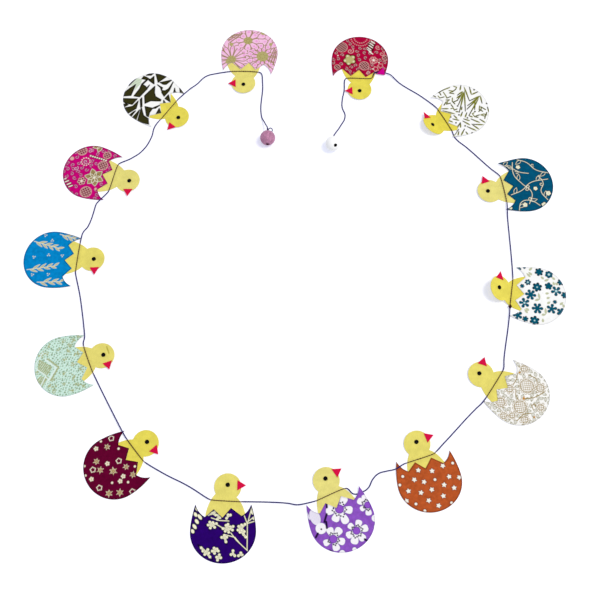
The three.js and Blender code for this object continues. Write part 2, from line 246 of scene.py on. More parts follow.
angle = np.linspace(0, 2 * math.pi, OUTLINE_POINTS, endpoint=False)
radius = THREAD / 2 * (1 - GROOVE / 2 * (1 - np.cos(PLIES * angle)))
outline_path = np.column_stack([radius * np.cos(angle), radius * np.sin(angle), 0 * angle])
outline = drawn("thread_outline", outline_path, closed=True)
thread = drawn("sewing_thread", stitched)
thread.data.bevel_mode = "OBJECT"
thread.data.bevel_object = outline
thread.data.use_fill_caps = True
twist = 2 * math.pi / PLY_TURN * THREAD_STEP * np.arange(len(way))
thread.data.splines[0].points.foreach_set("tilt", twist)
thread.data.splines[0].points.foreach_set("radius", thickness)
to_mesh(thread)
bpy.data.objects.remove(outline)
print("thread has", len(thread.data.polygons), "faces")

# %% Where the thread is sewn down
way_points = KDTree(len(stitched))
for k, point in enumerate(stitched):
    way_points.insert(point * MM, k)
way_points.balance()
held_by_vertex = [held[way_points.find(vertex.co)[1]] for vertex in thread.data.vertices]
thread.data.attributes.new("held", "FLOAT", "POINT").data.foreach_set("value", held_by_vertex)
print("points of the mesh with a mark:", len(held_by_vertex))

# %% [markdown]
# ## Knots
# A knot stops the pink bead from sliding, and another joins two lengths beside a chick. An overhand knot
# could be traced point by point, but a trefoil, the simplest closed knot, has a short formula and looks
# the same at this size. Beside the pink bead a small loop of thread is left over.

# %% Knots and the loop
KNOT_SIZE, JOIN_KNOT_SIZE = 0.42, 0.36  # scale of the trefoil
KNOT_POINTS = 60
PINK_KNOT_AT = (-20.8, 120.6, 6)
JOIN_KNOT_AT = (164, -28, 1.6)
LOOP_RADIUS = THREAD / 2.4
LOOP = [(-20.4, 121, 6), (-18.6, 122.6, 5.6), (-17.2, 121.6, 5), (-17.6, 120, 4.8), (-19.6, 120.2, 5.4)]


def knot(name, at, size, turn=0.0):
    """A trefoil of thread, turned about Y."""
    angle = np.linspace(0, 2 * math.pi, KNOT_POINTS, endpoint=False)
    x = np.sin(angle) + 2 * np.sin(2 * angle)
    y = np.cos(angle) - 2 * np.cos(2 * angle)
    path = size * np.column_stack([x, y, -np.sin(3 * angle)])
    path = path @ np.array(Matrix.Rotation(turn, 3, "Y"))
    piece = drawn(name, path + np.array(at), closed=True)
    piece.data.bevel_depth = THREAD / 2 * MM
    piece.data.bevel_resolution = 2
    return to_mesh(piece)


pink_knot = knot("knot_pink_bead", PINK_KNOT_AT, KNOT_SIZE, turn=math.pi / 2)
join_knot = knot("knot_join", JOIN_KNOT_AT, JOIN_KNOT_SIZE)
loop = drawn("thread_loop", soft_curve(LOOP, THREAD_STEP))
loop.data.bevel_depth = LOOP_RADIUS * MM
loop.data.use_fill_caps = True
to_mesh(loop)
print("knots:", pink_knot.name, join_knot.name)

# %% [markdown]
# ## Beads
# Both beads are plain rounds of the same size with a hole for the thread. A hole could be painted on, but
# a real one catches the light on its rim. So a ball is opened at its poles, the two openings are bridged
# by a tunnel, and the rims of the hole are rounded off. The wall of the hole gets a darker finish of its
# own, which is painted shade for the depth of the hole.

# %% Bored beads
BEAD_SIZE = 12
BEAD_SEGMENTS, BEAD_RINGS = 64, 42
BORE = 2.6
TUNNEL_CUTS = 6
RIM_ROUND, RIM_STEPS = 0.28, 4
RIM_FROM = 0.97  # a rim lies past this share of the way from the middle to the end of the hole
RIM_WITHIN = 0.6  # and no further from the axis than this share of the hole's width
BORE_WALL = 1.05  # what lies within this share of the hole's radius is its wall
PINK_BEAD_AT, PINK_BORE = (-20.8, 113.6), (0, -1, 0)
WHITE_BEAD_AT, WHITE_BORE = (31.2, 108.5), (0.33, -0.64, 0.7)


def bored_bead(name, at, bore_direction):
    """A ball on the table at a place, with a hole along a direction."""
    bpy.ops.object.select_all(action="DESELECT")
    bpy.ops.mesh.primitive_uv_sphere_add(
        segments=BEAD_SEGMENTS, ring_count=BEAD_RINGS, radius=BEAD_SIZE / 2 * MM)
    bead = bpy.context.object
    bead.name = name
    bpy.ops.object.mode_set(mode="EDIT")
    bpy.ops.mesh.select_mode(type="FACE")
    bpy.ops.mesh.select_all(action="DESELECT")
    ball = bmesh.from_edit_mesh(bead.data)
    for face in ball.faces:
        face.select = face.calc_center_median().xy.length < BORE / 2 * MM
    bpy.ops.mesh.delete(type="FACE")
    bpy.ops.mesh.select_mode(type="EDGE")
    bpy.ops.mesh.select_all(action="DESELECT")
    bpy.ops.mesh.select_non_manifold()
    bpy.ops.mesh.bridge_edge_loops(number_cuts=TUNNEL_CUTS)
    bpy.ops.mesh.select_all(action="DESELECT")
    ball = bmesh.from_edit_mesh(bead.data)
    height = math.sqrt((BEAD_SIZE / 2) ** 2 - (BORE / 2) ** 2) * MM
    for edge in ball.edges:
        ends = [vert.co for vert in edge.verts]
        high = all(abs(end.z) > RIM_FROM * height for end in ends)
        edge.select = high and all(end.xy.length < RIM_WITHIN * BORE * MM for end in ends)
    bpy.ops.mesh.bevel(offset=RIM_ROUND * MM, segments=RIM_STEPS)
    bpy.ops.mesh.select_all(action="SELECT")
    bpy.ops.mesh.normals_make_consistent(inside=False)
    bpy.ops.object.mode_set(mode="OBJECT")
    # the wall of the hole takes the second finish, which is painted shade
    for face in bead.data.polygons:
        face.material_index = int(face.center.xy.length < BORE_WALL * BORE / 2 * MM)
    bead.rotation_mode = "QUATERNION"
    bead.rotation_quaternion = Vector((0, 0, 1)).rotation_difference(Vector(bore_direction))
    bead.location = Vector((*at, BEAD_SIZE / 2)) * MM
    bpy.ops.object.transform_apply(location=True, rotation=True, scale=True)
    bpy.ops.object.shade_smooth()
    return bead


pink_bead = bored_bead("bead_of_wood", PINK_BEAD_AT, PINK_BORE)
white_bead = bored_bead("bead_of_plastic", WHITE_BEAD_AT, WHITE_BORE)
print("beads:", len(pink_bead.data.polygons), "faces each")

# %% [markdown]
# ## The thread and the pieces on it
# The thread is a limp cord that starts in the pink bead and ends in the white one, and the beads, the
# knots and the loop are the pieces on it. All of them move with the garland, and the thread and the beads
# stand in for their solids from the model, which are hidden.


def belongs(piece, node):
    """The piece moves with the garland and stands for a solid, if one is named, which is then hidden."""
    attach(piece, "root")
    if node:
        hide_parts(node)


belongs(thread, "thread")
belongs(pink_bead, "bead_pink")
belongs(white_bead, "bead_white")
for piece in (pink_knot, join_knot, loop):
    belongs(piece, None)

# %% [markdown]
# ## Helpers for finishes
# A finish is a small tree of nodes. It could be wired by hand, but the same few steps come back in every
# finish, so each step is a helper. Colours are written as they look on screen, from 0 to 255, and turned
# into the linear values that a shader wants. Grain is noise on the piece's own coordinates, so its spots
# have a real size.

# %% Colours
WHITE = (1, 1, 1, 1)


def dye(red, green, blue):
    """A screen colour as linear light, by the curve that screens use."""
    values = [c / 255 for c in (red, green, blue)]
    return (*[c / 12.92 if c <= 0.04045 else ((c + 0.055) / 1.055) ** 2.4 for c in values], 1)


def shade(colour, amount):
    """The same colour, deeper below 1 and paler above it."""
    return (*[min(c * amount, 1) for c in colour[:3]], 1)


print("white is", dye(255, 255, 255))

# %% Nodes and grain
NOISE_LOW, NOISE_HIGH = 0.3, 0.7  # most of a noise lies between these values


def finish(name, roughness, specular):
    """A new material with its nodes and its shader."""
    material = bpy.data.materials.new(name)
    material.use_nodes = True
    shader = material.node_tree.nodes["Principled BSDF"]
    shader.inputs["Roughness"].default_value = roughness
    shader.inputs["Specular IOR Level"].default_value = specular
    return material, material.node_tree, shader


def feed(tree, socket, value):
    """Links an output to a socket, or writes a value on it."""
    if isinstance(value, bpy.types.NodeSocket):
        tree.links.new(value, socket)
    else:
        socket.default_value = value


def grain(tree, size, stretch=(1, 1, 1), detail=3.0):
    """Noise with spots of a size in millimetres, spread from 0 to 1."""
    where = tree.nodes.new("ShaderNodeTexCoord")
    mapping = tree.nodes.new("ShaderNodeMapping")
    mapping.inputs["Scale"].default_value = [s / (size * MM) for s in stretch]
    noise = tree.nodes.new("ShaderNodeTexNoise")
    noise.inputs["Scale"].default_value = 1
    noise.inputs["Detail"].default_value = detail
    spread = tree.nodes.new("ShaderNodeMapRange")
    spread.inputs["From Min"].default_value = NOISE_LOW
    spread.inputs["From Max"].default_value = NOISE_HIGH
    tree.links.new(where.outputs["Object"], mapping.inputs["Vector"])
    tree.links.new(mapping.outputs["Vector"], noise.inputs["Vector"])
    tree.links.new(noise.outputs["Fac"], spread.inputs["Value"])
    return spread.outputs["Result"]


def blend(tree, factor, under, over, mode="MIX"):
    """One colour over another, as far as the factor says."""
    mix = tree.nodes.new("ShaderNodeMix")
    mix.data_type = "RGBA"
    mix.blend_type = mode
    feed(tree, mix.inputs["Factor"], factor)
    feed(tree, mix.inputs["A"], under)
    feed(tree, mix.inputs["B"], over)
    return mix.outputs["Result"]


def tinted(tree, body, tint):
    """A colour seen through another one."""
    return blend(tree, 1.0, body, tint, "MULTIPLY")


def roughen(tree, shader, height, depth, strength):
    """Bump from a grain, with its depth in millimetres."""
    bump = tree.nodes.new("ShaderNodeBump")
    bump.inputs["Strength"].default_value = strength
    bump.inputs["Distance"].default_value = depth * MM
    tree.links.new(height, bump.inputs["Height"])
    tree.links.new(bump.outputs["Normal"], shader.inputs["Normal"])


print("finish helpers ready")

# %% [markdown]
# ## Thread and bead finishes
# The thread is violet cotton, darker between its fibres, and painted browner where it is sewn down on the
# card: painted shade with a painted reflection of the yellow card.
# Its mesh holds a mark for that. The pink bead is bare wood under a thin wash, so its grain and pores show
# through. The white bead is moulded and glossy, and a faint glow of its own is painted light that brightens
# it all round.

# %% Thread, wood and plastic
# how strongly the white bead glows, as painted light
PAINTED_BEAD_GLOW = 0.06


def mark(tree, name):
    """What the points of a piece hold under a name."""
    node = tree.nodes.new("ShaderNodeAttribute")
    node.attribute_name = name
    return node.outputs["Fac"]


def cotton(name, colour, sewn_shade_colour):
    material, tree, shader = finish(name, roughness=0.8, specular=0.08)
    fibres = grain(tree, size=0.25, detail=4)
    free = blend(tree, fibres, shade(colour, 0.6), shade(colour, 1.35))
    # where it is sewn down the colour is painted shade, with a painted yellow reflection of the card
    shaded_sewn_stretch = blend(tree, fibres, shade(sewn_shade_colour, 0.6), shade(sewn_shade_colour, 1.35))
    feed(tree, shader.inputs["Base Color"], blend(tree, mark(tree, "held"), free, shaded_sewn_stretch))
    roughen(tree, shader, fibres, depth=0.06, strength=0.5)
    return material


def washed_wood():
    material, tree, shader = finish("washed_wood", roughness=0.62, specular=0.3)
    wash = dye(202, 138, 174)
    streaks = grain(tree, size=1.5, stretch=(1, 0.45, 1))
    pores = grain(tree, size=0.7, detail=5)
    body = blend(tree, streaks, shade(wash, 0.72), shade(wash, 1.4))
    feed(tree, shader.inputs["Base Color"], blend(tree, pores, shade(wash, 0.6), body))
    roughen(tree, shader, pores, depth=0.15, strength=0.6)
    return material


def glossy_plastic():
    material, tree, shader = finish("glossy_white", roughness=0.16, specular=0.5)
    clouds = grain(tree, size=3)
    feed(tree, shader.inputs["Base Color"], blend(tree, clouds, dye(249, 249, 248), dye(254, 254, 253)))
    # a faint glow that is painted light, though the bead is no lamp
    shader.inputs["Emission Color"].default_value = WHITE
    shader.inputs["Emission Strength"].default_value = PAINTED_BEAD_GLOW
    roughen(tree, shader, clouds, depth=0.05, strength=0.15)
    return material


# painted shade on the wall of a bead's hole, darker than the bead's outside
def shaded_bore(name, colour):
    material, tree, shader = finish(name, roughness=0.9, specular=0.05)
    bore_grain = grain(tree, size=0.5)
    feed(tree, shader.inputs["Base Color"], blend(tree, bore_grain, shade(colour, 0.7), shade(colour, 1.3)))
    roughen(tree, shader, bore_grain, depth=0.05, strength=0.3)
    return material


# the brown of the sewn stretches is painted shade, with the card's yellow reflected in it
VIOLET, SEWN_SHADE_BROWN, KNOT_DARK = dye(34, 28, 102), dye(86, 56, 48), dye(52, 8, 28)
violet_cotton = cotton("violet_cotton", VIOLET, SEWN_SHADE_BROWN)
dark_cotton = cotton("dark_cotton", KNOT_DARK, KNOT_DARK)
for piece in (thread, pink_knot, loop):
    piece.data.materials.append(violet_cotton)
join_knot.data.materials.append(dark_cotton)
for bead, outside, inside in (
        (pink_bead, washed_wood(), shaded_bore("pink_bore_shade", dye(92, 44, 62))),
        (white_bead, glossy_plastic(), shaded_bore("white_bore_shade", dye(30, 30, 32)))):
    bead.data.materials.append(outside)
    bead.data.materials.append(inside)
print("finishes:", [material.name for material in (violet_cotton, dark_cotton)])

# %% [markdown]
# ## Cutting paper
# Every paper piece is cut from a flat sheet along an outline. A grid of whole squares would have a ragged
# edge. So a filled ring of points is moved onto the outline, and straight cuts across it in both
# directions divide it into small squares. Those let the sheet bend, and on the eggshells they also carry
# the print. The cut sheet is thickened after it has been bent.

# %% A cut blank
FIRST_CUT = 0.37  # share of a square before the first cut, so that no cut meets a corner
SHARP_EDGE = 40  # degrees, past which an edge isn't shaded smooth


def quadratic(start, pull, end, steps=10):
    """Points from one end towards the other, drawn aside by a pull."""
    u = np.linspace(0, 1, steps, endpoint=False)[:, None]
    start, pull, end = (np.array(point, float) for point in (start, pull, end))
    return (1 - u) ** 2 * start + 2 * u * (1 - u) * pull + u * u * end


def round_stretch(middle, across, upright, start, end, steps):
    """Points on a stretch of an ellipse, between two angles in degrees."""
    angle = np.radians(np.linspace(start, end, steps, endpoint=False))
    return np.column_stack([middle[0] + across * np.cos(angle), middle[1] + upright * np.sin(angle)])


def blank(name, outline, square):
    """A flat sheet with that outline, divided into squares, in millimetres on the table."""
    bpy.ops.object.select_all(action="DESELECT")
    bpy.ops.mesh.primitive_circle_add(vertices=len(outline), radius=1, fill_type="NGON")
    sheet = bpy.context.object
    sheet.name = name
    places = np.column_stack([outline[::-1], np.zeros(len(outline))])
    sheet.data.vertices.foreach_set("co", places.ravel())
    bpy.ops.object.mode_set(mode="EDIT")
    for axis in (0, 1):
        normal = [float(axis == i) for i in range(3)]
        first, last = outline[:, axis].min() + FIRST_CUT * square, outline[:, axis].max()
        for cut in np.arange(first, last, square):
            bpy.ops.mesh.select_all(action="SELECT")
            bpy.ops.mesh.bisect(plane_co=[cut * n for n in normal], plane_no=normal)
    bpy.ops.object.mode_set(mode="OBJECT")
    return sheet


print("a first cut lies", FIRST_CUT, "of a square inside")

# %% Pieces from a blank
def points_of(sheet):
    points = np.empty(3 * len(sheet.data.vertices))
    sheet.data.vertices.foreach_get("co", points)
    return points.reshape(-1, 3)


def cut_piece(name, sheet, points, matrix, papers, marks=None):
    """A copy of a blank at the given points, laid by a matrix and thickened downwards.

    Marks hold one value for each point of the sheet, under the name by which a finish asks for them.
    """
    piece = bpy.data.objects.new(name, sheet.data.copy())
    bpy.context.collection.objects.link(piece)
    piece.data.vertices.foreach_set("co", points.ravel())
    piece.data.transform(Matrix.Scale(MM, 4) @ matrix)
    for paper in papers:
        piece.data.materials.append(paper)
    for title, values in (marks or {}).items():
        layer = piece.data.attributes.new(title, "FLOAT", "POINT")
        layer.data.foreach_set("value", np.asarray(values, np.float32))
    alone(piece)
    solid = piece.modifiers.new("thickness", "SOLIDIFY")
    solid.thickness = PAPER * MM
    solid.offset = -1
    solid.material_offset = solid.material_offset_rim = len(papers) - 1
    bpy.ops.object.modifier_apply(modifier=solid.name)
    bpy.ops.object.shade_smooth_by_angle(angle=math.radians(SHARP_EDGE))
    return piece


def bent_up(points, fold, degrees, radius, bends=None):
    """Points of a sheet bent up about a line along X at Y = fold, round a bend of that radius."""
    angle = math.radians(degrees)
    start = fold - radius * math.tan(min(angle, math.pi / 2) / 2)
    past = points[:, 1] - start
    turned = np.clip(past / radius, 0, angle)
    straight = np.maximum(past - radius * angle, 0)
    arm = radius - points[:, 2]
    bent = points.copy()
    bent[:, 1] = start + arm * np.sin(turned) + straight * np.cos(turned)
    bent[:, 2] = radius - arm * np.cos(turned) + straight * np.sin(turned)
    moved = (past > 0) if bends is None else (past > 0) & bends
    return np.where(moved[:, None], bent, points)


print("blanks are cut and bent in millimetres")

# %% [markdown]
# ## Coloured card
# The chick, its beak and its eye are dyed card: one colour through and through, a little cloudy, with fine
# fibres that catch the light. The sheets differ a little from chick to chick and one of them has a crease,
# with painted shade along it. A finish for each sheet would do, but one finish is enough if the points of a
# sheet say how deep its dye is and where the painted shade of the crease lies.

# %% Card
def card(name, pale, deep, cloud=0.08, fibre=0.06):
    """Dyed card. Cloud and fibre say how much deeper its clouds and fibres are."""
    material, tree, shader = finish(name, roughness=0.88, specular=0.04)
    clouds = grain(tree, size=5)
    fibres = grain(tree, size=0.5, stretch=(1, 0.3, 1), detail=4)
    colour = blend(tree, mark(tree, "dye"), pale, deep)
    cloudy = blend(tree, clouds, shade(WHITE, 1 - cloud), WHITE)
    body = tinted(tree, colour, cloudy)
    # painted shade along a crease, deeper than the card's own colour
    body = blend(tree, mark(tree, "crease_shade"), body, shade(deep, 0.5))
    speck = blend(tree, fibres, shade(WHITE, 1 - fibre), WHITE)
    feed(tree, shader.inputs["Base Color"], tinted(tree, body, speck))
    roughen(tree, shader, fibres, depth=0.05, strength=0.35)
    return material


BEAK_RED, EYE_BLACK = dye(220, 18, 70), dye(16, 15, 18)
yellow_card = card("yellow_card", dye(242, 231, 135), dye(242, 227, 87), cloud=0.13, fibre=0.1)
red_card = card("red_card", BEAK_RED, BEAK_RED)
black_card = card("black_card", EYE_BLACK, EYE_BLACK, cloud=0.3)
print("cards: yellow, red, black")

# %% [markdown]
# ## Chicks
# A chick is one piece of card: a round head, a neck, sloping shoulders and a round foot that stays hidden
# behind the shell. They were cut one by one, but they are as good as alike, so one blank is cut and copied
# for each chick. The heads spring up a little from the table, two of them are bent well up, and one has a
# faint brown line of painted shade along a crease above the eye.

# %% The chick's outline
HEAD_RADIUS, HEAD_X, HEAD_Y = 9.7, 0.8, 10.6
NAPE_ANGLE, THROAT_ANGLE = 212, -46
SHOULDER_BACK, SHOULDER_FRONT = 13.4, 15
SLOPE_BACK, SLOPE_FRONT = 1.4, 2.5
SHOULDER_DROP, BODY_DEPTH = 9, 24
BODY_MIDDLE = (SHOULDER_FRONT - SHOULDER_BACK) / 2
BODY_HALF = (SHOULDER_FRONT + SHOULDER_BACK) / 2
HEAD_STEPS, FOOT_STEPS = 48, 36
CHICK_SQUARE = 0.8


def chick_outline():
    head = round_stretch((HEAD_X, HEAD_Y), HEAD_RADIUS, HEAD_RADIUS, NAPE_ANGLE, THROAT_ANGLE, HEAD_STEPS)
    angle = math.radians(THROAT_ANGLE)
    throat = (HEAD_X + HEAD_RADIUS * math.cos(angle), HEAD_Y + HEAD_RADIUS * math.sin(angle))
    breast = (SHOULDER_FRONT, -SHOULDER_DROP)
    back = (-SHOULDER_BACK, -SHOULDER_DROP)
    foot_height = BODY_DEPTH - SHOULDER_DROP
    return np.vstack([
        head,
        quadratic(throat, (SHOULDER_FRONT - SLOPE_FRONT, 0), breast),
        round_stretch((BODY_MIDDLE, -SHOULDER_DROP), BODY_HALF, foot_height, 0, -180, FOOT_STEPS),
        quadratic(back, (SLOPE_BACK - SHOULDER_BACK, 0), head[0]),
    ])


chick_blank = blank("chick_blank", chick_outline(), CHICK_SQUARE)
print("chick blank:", len(chick_blank.data.vertices), "points")

# %% Bent heads
HEAD_BEND = {"flower": (0.8, 31, 7), "olive": (8.5, 33, 5)}  # fold line, degrees, radius of the bend
HEAD_SPRING = (4, 5, 14)  # the same for the other heads
CREASED, CREASE_FROM, CREASE_TO, CREASE_HALF = "mint", (-4.2, 16.2), (1.4, 16.5), 0.5
CREASE_STRENGTH = 1.2  # above 1, so that the middle of the crease is even
DEPTH_OF_DYE = {
    "pink": 0.2, "leaf": 0.9, "magenta": 0.1, "blue": 0.5, "mint": 0.3, "maroon": 0.9, "purple": 0.35,
    "lavender": 0, "orange": 0.45, "gold": 0.45, "flower": 0.85, "teal": 0, "olive": 1, "red": 0.95,
}


def with_head_up(name, points):
    """Points of a chick, or of what is pasted on it, with its head bent up."""
    return bent_up(points, *HEAD_BEND.get(name, HEAD_SPRING))


flat = points_of(chick_blank) + (0, 0, PAPER)
# a line of painted shade along the crease on one chick
crease_y = np.interp(flat[:, 0], *zip(CREASE_FROM, CREASE_TO))
past_ends = flat[:, 0] - np.clip(flat[:, 0], CREASE_FROM[0], CREASE_TO[0])
off_crease = np.hypot(flat[:, 1] - crease_y, past_ends)
crease_shade = np.clip(CREASE_STRENGTH - off_crease / CREASE_HALF, 0, 1)
for name in CHICKS:
    marks = {"dye": np.full(len(flat), DEPTH_OF_DYE[name]), "crease_shade": crease_shade * (name == CREASED)}
    points = with_head_up(name, flat)
    chick = cut_piece(f"chick_of_{name}", chick_blank, points, chick_frame(name), [yellow_card], marks)
    belongs(chick, f"chick_{name}")
bpy.data.objects.remove(chick_blank)
print("chicks cut:", len(CHICKS))

# %% [markdown]
# ## Beaks and eyes
# The beak is a red triangle pasted on the edge of the head, and the eye is a punched black dot. Painted
# marks would be flat, but here the edge of the paper shows. Both pieces go through the same bend as the
# head that carries them, so they lie close on it.

# %% Beaks and eyes
BEAK_BASE, BEAK_LENGTH, BEAK_INSET, BEAK_Y = 7.2, 6.2, 2.8, 2
EYE_SIZE, EYE_Y = 3.1, 1.5
BEAK_STEPS, EYE_STEPS = 6, 32  # points on an edge of the beak, and round the eye
BEAK_SQUARE, EYE_SQUARE = 0.8, 0.6
BEAK_SHIFT = {
    "pink": (-0.5, -1.5), "leaf": (1, 0), "magenta": (0.5, 0.5), "blue": (0, 1), "mint": (-0.5, 0.5),
    "maroon": (-0.5, 0), "purple": (0, -0.5), "lavender": (0.5, 0.5), "orange": (0.5, 0), "gold": (0, 1),
    "flower": (0, 0), "teal": (0.5, -0.5), "olive": (0, 0), "red": (-1, -0.5),
}
BEAK_TURN = {  # degrees
    "pink": 2, "leaf": -5, "magenta": 11, "blue": 6, "mint": -3, "maroon": 1, "purple": 2,
    "lavender": 13, "orange": 2, "gold": 15, "flower": 0, "teal": 10, "olive": 0, "red": 2,
}
FACE_HEIGHT = 2 * PAPER + PASTE  # top of a sheet that is pasted on another one


def beak_outline():
    foot, tip, top = (0, -BEAK_BASE / 2), (BEAK_LENGTH, 0), (0, BEAK_BASE / 2)
    edges = (top, tip), (tip, foot), (foot, top)
    return np.vstack([np.linspace(start, end, BEAK_STEPS, endpoint=False) for start, end in edges])


beak_blank = blank("beak_blank", beak_outline(), BEAK_SQUARE)
eye_outline = round_stretch((0, 0), EYE_SIZE / 2, EYE_SIZE / 2, start=360, end=0, steps=EYE_STEPS)
eye_blank = blank("eye_blank", eye_outline, EYE_SQUARE)
for name in CHICKS:
    shift, rise = BEAK_SHIFT[name]
    beak_place = laid((HEAD_X + HEAD_RADIUS - BEAK_INSET + shift, HEAD_Y + BEAK_Y + rise), BEAK_TURN[name])
    eye_place = laid((HEAD_X, HEAD_Y + EYE_Y), turn=0)
    for kind, sheet, place, paper, slot in (
            ("beak", beak_blank, beak_place, red_card, "paper_red"),
            ("eye", eye_blank, eye_place, black_card, "paper_black")):
        flat = np.array([place @ Vector(point) for point in points_of(sheet)]) + (0, 0, FACE_HEIGHT)
        points = with_head_up(name, flat)
        piece = cut_piece(f"{kind}_of_{name}", sheet, points, chick_frame(name), [paper])
        belongs(piece, f"{kind}_{name}")
bpy.data.objects.remove(beak_blank)
bpy.data.objects.remove(eye_blank)
print("faces pasted:", len(CHICKS))

# %% [markdown]
# ## Eggshells
# All the shells have one outline: a zigzag crack between two high tips, and a round end. The print could
# be a picture, but a drawing by formulas is sharper and belongs to the piece. The blank is divided finely,
# because its points carry the print: every point holds how much ink lies on it.

# %% The shell's outline
SHELL_HALF, SHELL_WIDEST, SHELL_DEPTH = 23.3, 16.7, 38.6
LEFT_TIP, LEFT_VALLEY, LEFT_PEAK = (-20, 2.5), (-13.1, -6.4), (-6.9, -0.9)
MIDDLE_VALLEY = (-0.6, -6.8)
RIGHT_PEAK, RIGHT_VALLEY, RIGHT_TIP = (5.3, 0), (12.9, -5.6), (19.6, 2.5)
TIP_HOLLOW = 1.6
CRACK_STEPS, SIDE_STEPS, END_STEPS = 4, 16, 56
PRINT_SQUARE = 0.34


def hollow(tip, valley):
    """The pull of the curved edge between an outer tip and its valley."""
    outward = math.copysign(TIP_HOLLOW, tip[0] - valley[0])
    return ((tip[0] + valley[0]) / 2 + outward, (tip[1] + valley[1]) / 2 - TIP_HOLLOW)


def shell_outline():
    widest = -SHELL_WIDEST
    return np.vstack([
        quadratic(LEFT_TIP, hollow(LEFT_TIP, LEFT_VALLEY), LEFT_VALLEY),
        np.linspace(LEFT_VALLEY, LEFT_PEAK, CRACK_STEPS, endpoint=False),
        np.linspace(LEFT_PEAK, MIDDLE_VALLEY, CRACK_STEPS, endpoint=False),
        np.linspace(MIDDLE_VALLEY, RIGHT_PEAK, CRACK_STEPS, endpoint=False),
        np.linspace(RIGHT_PEAK, RIGHT_VALLEY, CRACK_STEPS, endpoint=False),
        quadratic(RIGHT_VALLEY, hollow(RIGHT_TIP, RIGHT_VALLEY), RIGHT_TIP),
        quadratic(RIGHT_TIP, (SHELL_HALF, widest / 2), (SHELL_HALF, widest), SIDE_STEPS),
        round_stretch((0, widest), SHELL_HALF, SHELL_DEPTH - SHELL_WIDEST, 0, -180, END_STEPS),
        quadratic((-SHELL_HALF, widest), (-SHELL_HALF, widest / 2), LEFT_TIP, SIDE_STEPS),
    ])


shell_blank = blank("shell_blank", shell_outline(), PRINT_SQUARE)
spots = points_of(shell_blank)[:, :2]  # where the print asks how much ink there is
print("shell blank:", len(spots), "points")

# %% [markdown]
# ## Drawing with ink
# A motif is a distance: how far each spot of the paper lies outside its edge. Dots, stars, leaves and
# lines each have a short formula, and the smallest distance of several motifs is their drawing. A list of
# inked spots would also do, but distances can be added to: a rim or an outline takes one step. Ink covers
# what lies inside, and its edge fades over a third of a millimetre, as a print on soft paper does.

# %% Round and straight motifs
INK_EDGE = 0.3  # over which the edge of the ink fades
SLANTED = 0.7  # half the width of a slanted line, measured along X, as a share of its width


def dot(x, y, radius):
    """A round about a place."""
    return np.hypot(spots[:, 0] - x, spots[:, 1] - y) - radius


def star(x, y, radius, points, waist, turn=0.3):
    """Straight-edged star: radius to its points, waist as a share of it between them."""
    half = math.pi / points
    angle = np.arctan2(spots[:, 1] - y, spots[:, 0] - x) - turn
    fold = abs((angle + half) % (2 * half) - half)
    inner = radius * waist
    slope = inner * math.sin(half) * np.cos(fold) + (radius - inner * math.cos(half)) * np.sin(fold)
    return dot(x, y, radius * inner * math.sin(half) / slope)


def line(points, width):
    """A line with round ends through several places."""
    nearest = np.full(len(spots), np.inf)
    for start, end in zip(points, points[1:]):
        start, run = np.array(start, float), np.subtract(end, start)
        share = np.clip((spots - start) @ run / (run @ run), 0, 1)
        nearest = np.minimum(nearest, np.hypot(*(spots - start - share[:, None] * run).T))
    return nearest - width / 2


def net(x, y, radius, mesh, width):
    """A round filled with crossing lines."""
    rising, falling = (abs((spots[:, 0] + side * spots[:, 1]) % mesh - mesh / 2) for side in (-1, 1))
    return np.maximum(dot(x, y, radius), np.minimum(rising, falling) - SLANTED * width)


def patch(corners):
    """A shape with straight edges."""
    border = line(corners + corners[:1], 0)
    inside = np.zeros(len(spots), bool)
    for (x1, y1), (x2, y2) in zip(corners, corners[1:] + corners[:1]):
        if y1 != y2:
            crossed = (y1 > spots[:, 1]) != (y2 > spots[:, 1])
            inside ^= crossed & (spots[:, 0] < x1 + (spots[:, 1] - y1) * (x2 - x1) / (y2 - y1))
    return np.where(inside, -border, border)


print("round and straight motifs ready")

# %% What is done with motifs
def outlined(distance, width):
    """The edge of a shape, drawn as a line."""
    return abs(distance) - width / 2


def grown(distances, rim):
    """The same shapes, each larger by a rim all round, or smaller where the rim is below 0."""
    return [distance - rim for distance in distances]


def hatched(distance, slope, gap, width):
    """A shape filled with slanted lines."""
    return np.maximum(distance, abs((spots[:, 0] + slope * spots[:, 1]) % gap - gap / 2) - width / 2)


def drawing(*distances):
    """How much ink lies on each spot, from 0 to 1."""
    return np.clip(0.5 - np.minimum.reduce(distances) / INK_EDGE, 0, 1)


PRINTS = {}  # for each shell its paper colour, then pairs of ink colour and drawing
print("the edge of the ink fades over", INK_EDGE, "mm")

# %% Leaves and petals
def along_and_across(foot, tip):
    """How far each spot lies along and beside the way from a foot to a tip, and the length of the way."""
    foot, tip = np.array(foot, float), np.array(tip, float)
    length = np.hypot(*(tip - foot))
    way_up = (tip - foot) / length
    offset = spots - foot
    return offset @ way_up, offset @ np.array([-way_up[1], way_up[0]]), length


def oval(foot, tip, width):
    """An ellipse between two ends."""
    along, across, length = along_and_across(foot, tip)
    return (np.hypot(2 * along / length - 1, 2 * across / width) - 1) * width / 2


def blade(foot, tip, width, shape):
    """What lies between two ends, with half its width at each share of the length given by a shape."""
    along, across, length = along_and_across(foot, tip)
    share = np.clip(along / length, 0, 1)
    return np.hypot(across, along - share * length) - width / 2 * shape(share)


def leaf(foot, tip, width):
    """Pointed at both ends."""
    return blade(foot, tip, width, lambda share: np.sin(math.pi * share ** 0.8) ** 0.9)


def petal(foot, tip, width):
    """Narrow at its foot and round at its tip."""
    return blade(foot, tip, width, lambda share: 1.25 * share ** 0.6 * np.sqrt(1 - share ** 6))


print("leaves and petals ready")

